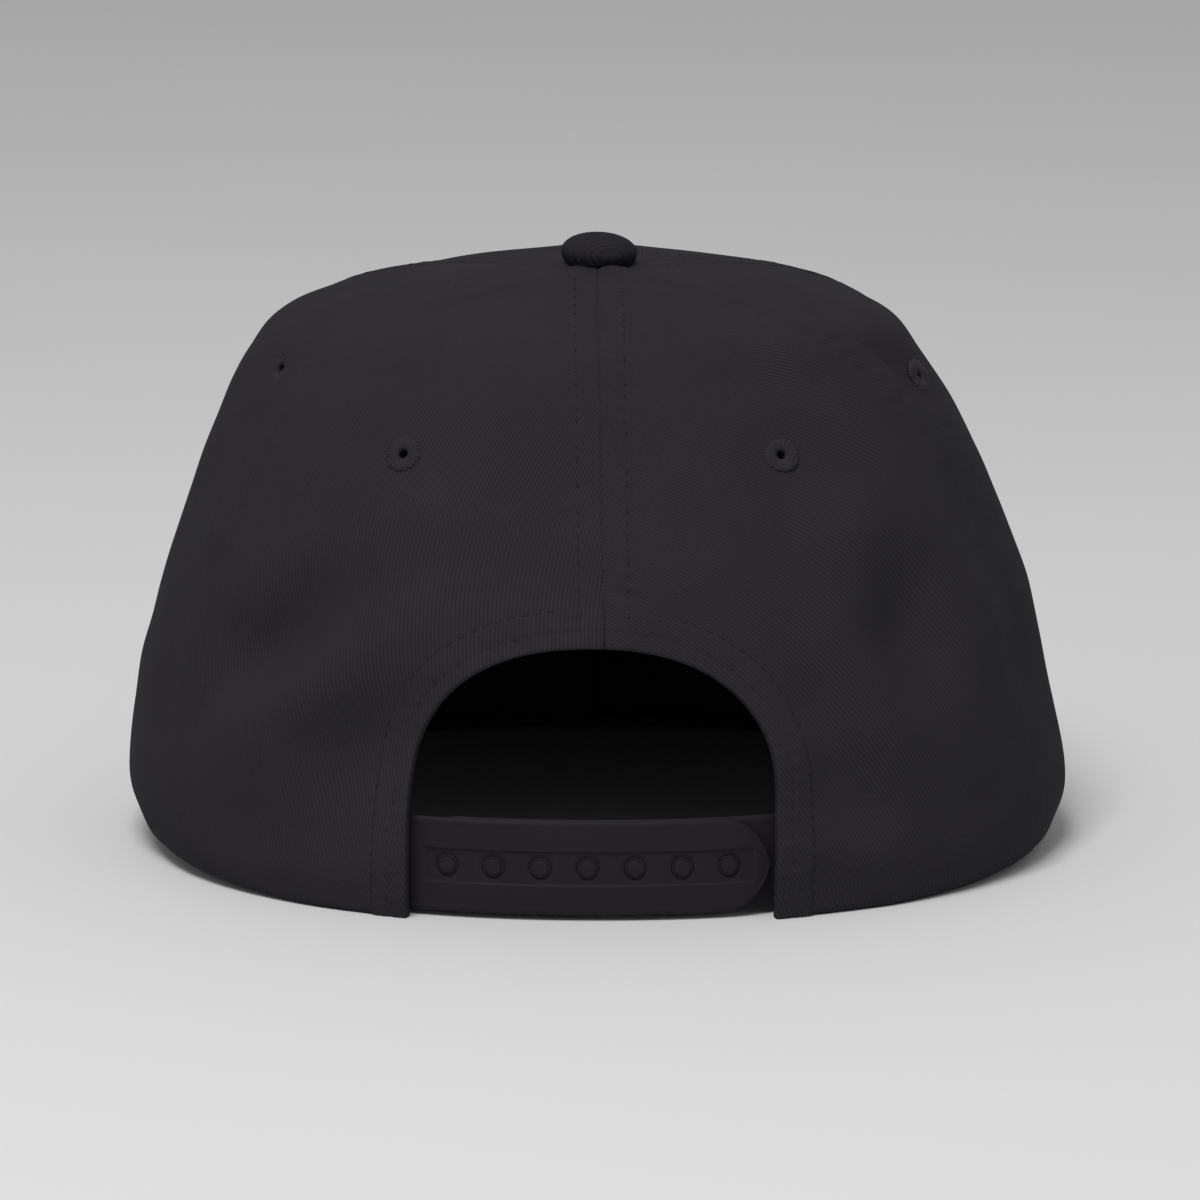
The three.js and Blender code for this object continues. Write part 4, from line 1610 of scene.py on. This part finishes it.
@dataclass(frozen=True)
class Peak:
    """The flat peak: a cloth-covered board with a bound edge and rows of stitches."""

    form: CrownForm
    flare: float = 9 * MM
    corner: float = 70 * MM
    side_run: float = 50 * MM
    edge_round: float = 0.9 * MM
    columns: int = 260
    rows: int = 90
    stitch_rows: int = 8
    row_step: float = 6.2 * MM
    first_row: float = 0.62

    def outline(self, shares: Points) -> Points:
        """Returns the outer edge in the cap's own plan, at shares from the left end to the right."""
        start = self._root(np.array([self.form.root_angle]), 0.0)[0]
        front = -(self.form.front_reach + self.form.peak_reach)
        a, b = np.array(start), np.array([start[0] + self.flare, start[1] - self.side_run])
        c, d = np.array([self.corner, front]), np.array([0.0, front])
        fine = np.linspace(0, 1, 200)[:, None]
        half = (1 - fine) ** 3 * a + 3 * (1 - fine) ** 2 * fine * b + 3 * (1 - fine) * fine**2 * c + fine**3 * d
        whole = np.concatenate([half, half[::-1][1:] * np.array([-1, 1])])
        along = run_length(whole)
        return sample(shares * along[-1], along, whole)

    def _root(self, angle: Points, depth: float) -> Points:
        """Returns the rim's plan places, at a depth inside the outer face."""
        way = np.zeros(len(angle))
        normal = self.form.slopes(angle, way)[2]
        place = self.form.bare_point(angle, way) - normal * depth
        return place[:, :2] - np.array(self.form.axis)

    def inner(self, shares: Points) -> Points:
        """Returns the inner edge in plan, under the crown's cloth."""
        root = self.form.root_angle
        angle = root + (FULL_TURN - 2 * root) * shares
        return self._root(angle, self.form.wall)

    def place(self, plan: Points, height: Points) -> Points:
        """Lays plan places on the peak's slope.

        Args:
            plan: places in the cap's plan, N x 2.
            height: height over the peak's upper face, N.

        Returns:
            The points, N x 3.
        """
        slope = self.form.peak_slope
        cosine = 1 / math.hypot(1, slope)
        ahead = plan[:, 1] - self.form.root_y
        y = self.form.root_y + ahead * cosine - height * slope * cosine
        z = self.form.root_rise - self.form.peak_gap + ahead * slope * cosine + height * cosine
        return np.stack([plan[:, 0] + self.form.axis[0], y + self.form.axis[1], z], axis=1)

    def build(self, material: bpy.types.Material, row: StitchRow) -> bpy.types.Object:
        """Makes the peak and sews its rows.

        Args:
            material: its cloth.
            row: where its stitches go.

        Returns:
            The object.
        """
        shares = np.linspace(0, 1, self.columns)
        outer, inner = self.outline(shares), self.inner(shares)
        steps = 1 - (1 - np.linspace(0, 1, self.rows)) ** 1.35
        plan = inner[None] + (outer - inner)[None] * steps[:, None, None]
        distance = self._from_edge(plan.reshape(-1, 2))
        height = self._height(distance, plan.reshape(-1, 2))
        points = self.place(plan.reshape(-1, 2), height).reshape(*plan.shape[:2], 3)
        mesh = grid_mesh("cloth_peak", points, plan)
        piece = make_object("cloth_peak", mesh)
        shape = bmesh.new()
        shape.from_mesh(mesh)
        if sum(face.normal.z for face in shape.faces) < 0:
            bmesh.ops.reverse_faces(shape, faces=shape.faces[:])
        shape.to_mesh(mesh)
        shape.free()
        thicken(piece, self.form.peak_thickness - 0.35 * MM)
        edge = piece.modifiers.new("edge", "BEVEL")
        edge.width = self.edge_round
        edge.segments = 3
        edge.limit_method = "ANGLE"
        edge.angle_limit = math.radians(60)
        settle(piece, math.radians(60))
        for number in range(self.stitch_rows):
            self._sew(row, (number + self.first_row) * self.row_step)
        return hand_in(piece, material, Slot.TWILL, "peak")

    def _from_edge(self, plan: Points) -> Points:
        """Returns each place's distance from the outer edge."""
        edge = self.outline(np.linspace(0, 1, 500))
        nearest = np.full(len(plan), 1.0)
        for start in range(0, len(plan), 4000):
            part = plan[start:start + 4000]
            gaps = np.linalg.norm(part[:, None] - edge[None], axis=2)
            nearest[start:start + 4000] = gaps.min(axis=1)
        return nearest

    def _height(self, distance: Points, plan: Points) -> Points:
        """Returns the relief of the upper face."""
        rows = distance / self.row_step - self.first_row
        near = np.abs(rows - np.rint(rows)) * self.row_step
        sewn = (rows > -0.4) & (rows < self.stitch_rows - 0.6)
        quilt = np.where(sewn, -0.16 * MM * bell(near, 0.8 * MM), 0.0)
        space = np.stack([plan[:, 0], plan[:, 1], 0 * plan[:, 0]], axis=1)
        return quilt - 0.15 * MM + 0.06 * MM * ripple(space, 0.02, 31)

    def _sew(self, row: StitchRow, inset: float) -> None:
        """Sews one row of stitches at a distance inside the outer edge."""
        edge = self.outline(np.linspace(0, 1, 400))
        heading = unit(np.gradient(edge, axis=0))
        inward = np.stack([heading[:, 1], -heading[:, 0]], axis=1)
        inward *= np.sign((inward * (np.array([0.0, self.form.root_y]) - edge)).sum(1))[:, None]
        line = edge + inward * inset
        kept = (self._from_edge(line) > inset - 0.3 * MM) & self._clear_of_crown(line)
        line = line[kept]
        if len(line) < 8:
            return
        points = self.place(line, np.full(len(line), -0.22 * MM))
        slope = self.form.peak_slope
        normal = unit(np.array([0.0, -slope, 1.0]))
        row.add(points, np.repeat(normal[None], len(line), axis=0), 1 * MM)

    def _clear_of_crown(self, line: Points) -> Points:
        """Tells which places lie in front of the crown."""
        x = np.abs(line[:, 0]) / (self.form.half_width + 2.5 * MM)
        y = np.abs(np.minimum(line[:, 1], 0)) / (self.form.front_reach + 2.5 * MM)
        return x**self.form.squareness + y**self.form.squareness > 1.0


# Straps


@dataclass(frozen=True)
class StrapLine:
    """The line between the two straps, inside the crown's back."""

    form: CrownForm
    arch: Arch
    thickness: float = 1.3 * MM
    gap: float = 0.3 * MM
    clearance: float = 0.5 * MM
    tab: float = 14 * MM
    height: float = 19 * MM
    lift: float = 1.2 * MM

    @property
    def middle(self) -> float:
        """Height of the straps' middle."""
        return self.lift + self.height / 2

    def line(self) -> tuple[Points, Points]:
        """Draws the line.

        Returns:
            Its places in plan from the right to the left, and the distance from the middle of the back.
        """
        inset = self.form.wall + self.clearance + self.thickness + self.gap / 2
        half = self.form.half_width * SECTIONS[0, 2] - inset
        reach = self.form.back_reach * SECTIONS[0, 3] - inset
        ends = self.arch.half_width + self.tab
        x = np.linspace(self.arch.offset - ends, self.arch.offset + ends, 801)
        y = reach * (1 - np.abs(x / half) ** self.form.squareness) ** (1 / self.form.squareness)
        plan = np.stack([x, y], axis=1)
        along = run_length(plan)
        return plan, along - np.interp(0.0, x, along)

    def place(self, distance: Points, height: Points, depth: Points) -> Points:
        """Places points by the line.

        Args:
            distance: distance along the line from the middle, N.
            height: height over the straps' middle, N.
            depth: depth towards the outside, N.

        Returns:
            The points, N x 3.
        """
        plan, along = self.line()
        heading = unit(np.gradient(plan, axis=0))
        outward = np.stack([-heading[:, 1], heading[:, 0]], axis=1)
        spot = sample(distance, along, plan)
        out = unit(sample(distance, along, outward))
        flat = spot + out * depth[:, None] + np.array(self.form.axis)
        return np.stack([flat[:, 0], flat[:, 1], self.middle + height], axis=1)

    def ends(self) -> tuple[float, float]:
        """Returns the line's two ends, on the right and on the left."""
        _, along = self.line()
        return float(along[0]), float(along[-1])


@dataclass(frozen=True)
class Snaps:
    """The row of snaps that both straps share."""

    count: int = 7
    pitch: float = 9.3 * MM
    first: float = 30 * MM
    margin: float = 8 * MM
    hole: float = 2.25 * MM
    peg: float = 1.66 * MM
    boss: float = 2.14 * MM
    boss_depth: float = 0.66 * MM
    sink: float = 0.30 * MM
    sink_width: float = 0.74 * MM
    band_half: float = 3.35 * MM
    band_depth: float = 0.42 * MM

    def places(self) -> Points:
        """Returns the snaps' distances along the strap line."""
        return self.first - self.pitch * np.arange(self.count)


@dataclass(frozen=True)
class Strap:
    """One moulded strap, from its sewn tab to its rounded tip."""

    name: str
    node: str
    line: StrapLine
    snaps: Snaps
    tab: float
    tip: float
    near: float
    far: float
    outer: bool
    tip_length: float = 10.5 * MM
    crown: float = 0.55 * MM
    lip: float = 0.10 * MM
    columns: int = 230

    def half_height(self, distance: Points) -> Points:
        """Returns half the strap's height at distances along the line."""
        heading = math.copysign(1.0, self.tip - self.tab)
        past = (distance - (self.tip - heading * self.tip_length)) * heading / self.tip_length
        full = self.line.height / 2
        return full * np.sqrt(np.clip(1 - np.clip(past, 0, 1) ** 2.2, 0.0, 1.0)) + 0.25 * MM * (past > 0.99)

    def front(self, distance: Points, share: Points, half: Points) -> Points:
        """Returns how deep the outer face lies under the strap's full thickness.

        Args:
            distance: distances along the line.
            share: places across the strap from -1 to 1.
            half: half the strap's height there.

        Returns:
            The depth in metres.
        """
        across = share * half
        full = self.line.height / 2
        drop = self.crown * (across / full) ** 2
        edge = half * (1 - np.abs(share))
        drop -= self.lip * smooth_step(-edge, -1.5 * MM, -1.0 * MM) * (edge > 0)
        drop += 0.35 * MM * bell(edge, 0.35 * MM)
        low = min(self.snaps.places()) - self.snaps.margin * 0.62
        high = max(self.snaps.places()) + self.snaps.margin * 0.55
        soft = 0.22 * MM
        past = smooth_step(distance, high - soft, high + soft)
        within = smooth_step(distance, low - soft, low + soft) * (1 - past)
        band = 1 - smooth_step(np.abs(across), self.snaps.band_half - soft, self.snaps.band_half + soft)
        if self.outer:
            drop = drop * (1 - band * within) + (self.snaps.band_depth + 0.04 * MM) * band * within
            near = np.abs(distance[..., None] - self.snaps.places()).min(axis=-1)
            reach = np.hypot(near, across)
            rim = self.snaps.hole + self.snaps.sink_width
            drop += self.snaps.sink * (1 - smooth_step(reach, self.snaps.hole, rim))
        return drop

    def _rows(self) -> Points:
        """Returns places across the strap, close together at its edges and at the band's."""
        full = self.line.height / 2
        band = self.snaps.band_half
        edge = [full, full - 0.15 * MM, full - 0.4 * MM, full - 0.8 * MM, full - 1.2 * MM, full - 1.6 * MM]
        wide = list(np.linspace(full - 2.2 * MM, band + 0.7 * MM, 6))
        step = [band + 0.35 * MM, band + 0.18 * MM, band + 0.02 * MM, band - 0.14 * MM, band - 0.32 * MM]
        inner = list(np.linspace(band - 0.6 * MM, 0.0, 9))
        half = np.array([*edge, *wide, *step, *inner]) / full
        return np.concatenate([-half, half[::-1][1:]])

    def build(self, material: bpy.types.Material) -> bpy.types.Object:
        """Makes the strap.

        Args:
            material: its plastic.

        Returns:
            The object.
        """
        shares = self._rows()
        last = math.copysign(2.2 * MM, self.tip - self.tab)
        main = np.linspace(self.tab, self.tip - last, self.columns)
        close = self.tip - last * (1 - np.sin(np.linspace(0, 1, 12) * math.pi / 2))
        distance = np.concatenate([main, close[1:]])
        grid_distance = np.repeat(distance[None], len(shares), axis=0)
        grid_share = spread(shares, len(distance))
        half = self.half_height(grid_distance)
        depth = self.far - self.front(grid_distance, grid_share, half)
        flat = (grid_distance.ravel(), (grid_share * half).ravel(), depth.ravel())
        points = self.line.place(*flat).reshape(*grid_distance.shape, 3)
        mesh = grid_mesh(self.name, points)
        piece = make_object(self.name, mesh)
        self._wall(piece)
        if self.outer:
            self._punch(piece)
        else:
            self._add_pegs(piece)
        settle(piece, math.radians(35))
        return hand_in(piece, material, Slot.PLASTIC, self.node)

    def _wall(self, piece: bpy.types.Object) -> None:
        """Turns the outer face outwards and gives the strap its wall."""
        shape = bmesh.new()
        shape.from_mesh(piece.data)
        shape.faces.ensure_lookup_table()
        middle = Vector((*self.line.form.axis, self.line.middle))
        outward = sum((face.normal.dot(face.calc_center_median() - middle) for face in shape.faces))
        if outward < 0:
            bmesh.ops.reverse_faces(shape, faces=shape.faces[:])
        shape.to_mesh(piece.data)
        shape.free()
        thicken(piece, self.far - self.near - 0.3 * MM)
        settle(piece)

    def _post(self, distance: float, radius: float, low: float, high: float, dome: float) -> bmesh.types.BMesh:
        """Makes a round post across the strap.

        Args:
            distance: where it stands along the line.
            radius: its radius.
            low: its inner end.
            high: its outer end.
            dome: how far its outer end rounds over.

        Returns:
            A bmesh of the post, closed.
        """
        ends = self.line.place(np.full(2, distance), np.zeros(2), np.array([low, high]))
        axis = Vector(ends[1] - ends[0])
        shape = bmesh.new()
        bmesh.ops.create_cone(
            shape, cap_ends=True, cap_tris=False, segments=40, radius1=radius, radius2=radius, depth=axis.length,
        )
        if dome > 0:
            top = [face for face in shape.faces if face.normal.z > 0.9]
            rim = [edge for face in top for edge in face.edges]
            bmesh.ops.bevel(
                shape, geom=rim, offset=dome, segments=5, profile=0.5, affect="EDGES", material=-1,
            )
        turn = axis.to_track_quat("Z", "Y").to_matrix().to_4x4()
        centre = Vector((ends[0] + ends[1]) / 2)
        bmesh.ops.transform(shape, matrix=Matrix.Translation(centre) @ turn, verts=shape.verts[:])
        return shape

    def _posts(self, name: str, radius: float, low: float, high: float, dome: float) -> bpy.types.Object:
        """Makes one object of posts at all snaps."""
        joined = bpy.data.meshes.new(name)
        whole = bmesh.new()
        for distance in self.snaps.places():
            single = self._post(float(distance), radius, low, high, dome)
            single.to_mesh(joined)
            single.free()
            whole.from_mesh(joined)
        whole.to_mesh(joined)
        whole.free()
        return make_object(name, joined)

    def _combine(self, piece: bpy.types.Object, other: bpy.types.Object, operation: str) -> None:
        """Cuts or joins another object's shape into the strap.

        Args:
            piece: the strap.
            other: the other object, which goes.
            operation: the Boolean's operation.
        """
        step = piece.modifiers.new("combine", "BOOLEAN")
        step.operation = operation
        step.object = other
        step.solver = "EXACT"
        settle(piece)
        bpy.data.objects.remove(other)

    def _punch(self, piece: bpy.types.Object) -> None:
        """Cuts the holes."""
        posts = self._posts("punch", self.snaps.hole, self.near - 2 * MM, self.far + 2 * MM, 0.0)
        self._combine(piece, posts, "DIFFERENCE")

    def _add_pegs(self, piece: bpy.types.Object) -> None:
        """Adds the pegs."""
        top = self.line.gap / 2 + self.line.thickness
        middle = (self.near + self.far) / 2
        for name, radius, high, dome in (
            ("bosses", self.snaps.boss, top - self.snaps.boss_depth, 0.15 * MM),
            ("pegs", self.snaps.peg, top, 0.42 * MM),
        ):
            self._combine(piece, self._posts(name, radius, middle, high, dome), "UNION")


# Studio


@dataclass(frozen=True)
class Studio:
    """Pale floor, soft light and the camera."""

    axis: tuple[float, float]
    aim_height: float = 49 * MM
    aim_side: float = -0.3 * MM
    elevation: float = math.radians(11.6)
    distance: float = 1.230
    lens: float = 177.06
    sensor: float = 36.0
    floor_half: float = 14.0
    sky: float = 0.42
    key_place: tuple[float, float, float] = (0.29, 0.88, 1.55)
    key_size: float = 0.7
    key_power: float = 21.2

    def build(self) -> None:
        """Sets up the whole studio."""
        self._camera()
        self._floor()
        self._world()
        self._light("key", self.key_place, self.key_size, self.key_power)

    def _target(self) -> Vector:
        """Returns the point that the camera and the lights look at."""
        return Vector((self.axis[0] + self.aim_side, self.axis[1], self.aim_height))

    def _camera(self) -> None:
        """Sets the photograph's camera."""
        data = bpy.data.cameras.new("camera")
        data.lens = self.lens
        data.sensor_width = self.sensor
        data.clip_start = 0.05
        camera = bpy.data.objects.new("camera", data)
        bpy.context.scene.collection.objects.link(camera)
        away = Vector((0, math.cos(self.elevation), math.sin(self.elevation))) * self.distance
        camera.location = self._target() + away
        camera.rotation_euler = away.to_track_quat("Z", "Y").to_euler()
        bpy.context.scene.camera = camera

    def _floor(self) -> None:
        """Lays the floor."""
        shape = bmesh.new()
        bmesh.ops.create_grid(shape, x_segments=8, y_segments=8, size=self.floor_half)
        mesh = mesh_of(shape, "floor")
        floor = make_object("floor", mesh)
        mesh.materials.append(FloorFinish().make())

    def _world(self) -> None:
        """Sets the soft light from all round."""
        world = bpy.data.worlds.new("studio")
        world.use_nodes = True
        background = world.node_tree.nodes["Background"]
        background.inputs["Color"].default_value = (1.0, 1.0, 1.0, 1.0)
        background.inputs["Strength"].default_value = self.sky
        bpy.context.scene.world = world
        bpy.context.scene.view_settings.view_transform = "Standard"

    def _light(self, name: str, place: tuple[float, float, float], size: float, power: float) -> None:
        """Hangs a soft square light.

        Args:
            name: its name.
            place: its place from the middle of the cap.
            size: length of its side.
            power: its power in watts.
        """
        data = bpy.data.lights.new(name, "AREA")
        data.shape = "SQUARE"
        data.size = size
        data.energy = power
        light = bpy.data.objects.new(name, data)
        bpy.context.scene.collection.objects.link(light)
        target = self._target()
        light.location = target + Vector(place)
        light.rotation_euler = (light.location - target).to_track_quat("Z", "Y").to_euler()


def sew_seams(panels: dict[str, CrownPanel], rows: tuple[StitchRow, StitchRow], distance: float) -> None:
    """Sews a row beside both edges of every panel.

    Args:
        panels: the crown's panels by name.
        rows: where the stitches go, and where those of the back's centre seam go.
        distance: how far from the seam they lie.
    """
    for panel in panels.values():
        for at_start in (True, False):
            seam = panel.plan.start if at_start else panel.plan.end
            row = rows[seam is Seam.CENTRE_BACK]
            points, normals = panel.seam_line(at_start, distance)
            on_hem = panel.arch.inside(points, HemProfile().breadth)
            points = points + normals * (HemProfile().rise * on_hem)[:, None]
            kept = ~panel.arch.inside(points, 1.2 * MM)
            row.add(points[kept], normals[kept], 1.2 * MM)


def button_axis() -> tuple[float, float]:
    """Returns the crown's axis, through the middle of the button."""
    low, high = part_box("top_button")
    return (low.x + high.x) / 2, (low.y + high.y) / 2


def main() -> None:
    """Builds the cap and its studio."""
    logging.basicConfig(level=logging.INFO, format="%(name)s: %(message)s")
    axis = button_axis()
    Studio(axis).build()
    form = CrownForm(axis)
    arch = Arch(form)
    twill = TwillFinish().make()
    thread = ThreadFinish(low=0.0175, high=0.0425).make()
    stitch = ThreadFinish(low=0.014, high=0.027, name="black_stitches").make()
    seam_stitch = ThreadFinish(low=0.018, high=0.036, name="seam_thread").make()
    plastic = PlasticFinish().make()

    panels = {plan.name: CrownPanel(plan, form, arch) for plan in PANELS}
    cloths = {name: panel.build(twill) for name, panel in panels.items()}
    hems = {
        "back_left": ArchHem(Side.LEFT, panels["back_left"], arch),
        "back_right": ArchHem(Side.RIGHT, panels["back_right"], arch),
    }
    hem_pieces = {name: hem.build(twill) for name, hem in hems.items()}
    for name, cloth in cloths.items():
        flat, area = panels[name].flat_size()
        with_pieces = [hem_pieces[name]] if name in hem_pieces else []

    seams = StitchRow()
    arch_row = StitchRow()
    sew_seams(panels, (seams, arch_row), PLAIN_SEAM.row_place)
    hand_in(seams.join("seam_stitches"), seam_stitch, Slot.THREAD)
    for hem in hems.values():
        hem.stitch(arch_row)
    hand_in(arch_row.join("arch_stitches"), stitch, Slot.THREAD)

    for number, (name, panel) in enumerate(panels.items()):
        middle, outward = panel.eyelet_place()
        lean = LEANS.get(name, PLAIN_LEAN)
        sunk = SUNK.get(name, 0.0)
        eyelet = Eyelet(f"eyelet_{name}", middle, outward, lean=lean, sunk=sunk, seed=number + 3)
        eyelet.build(thread, form.wall)

    base = form.height + 0.3 * MM
    button_twill = TwillFinish(Lay.PLACE, slant=math.radians(70), low=0.0130, high=0.0265, name="button_twill")
    TopButton(axis, base).build(button_twill.make())
    peak_row = StitchRow(pitch=3.2 * MM, length=2.5 * MM)
    Peak(form).build(twill, peak_row)
    hand_in(peak_row.join("peak_stitches"), stitch, Slot.THREAD)

    line = StrapLine(form, arch)
    snaps = Snaps()
    right_end, left_end = line.ends()
    places = snaps.places()
    half_gap = line.gap / 2
    Strap(
        "snap_strap_outer", "strap_with_holes", line, snaps, tab=left_end, tip=float(places[-1]) - snaps.margin,
        near=half_gap, far=half_gap + line.thickness, outer=True,
    ).build(plastic)
    Strap(
        "snap_strap_inner", "strap_with_pegs", line, snaps, tab=right_end, tip=float(places[0]) + snaps.margin,
        near=-half_gap - line.thickness, far=-half_gap, outer=False,
    ).build(plastic)
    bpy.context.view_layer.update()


if __name__ == "__main__":
    main()
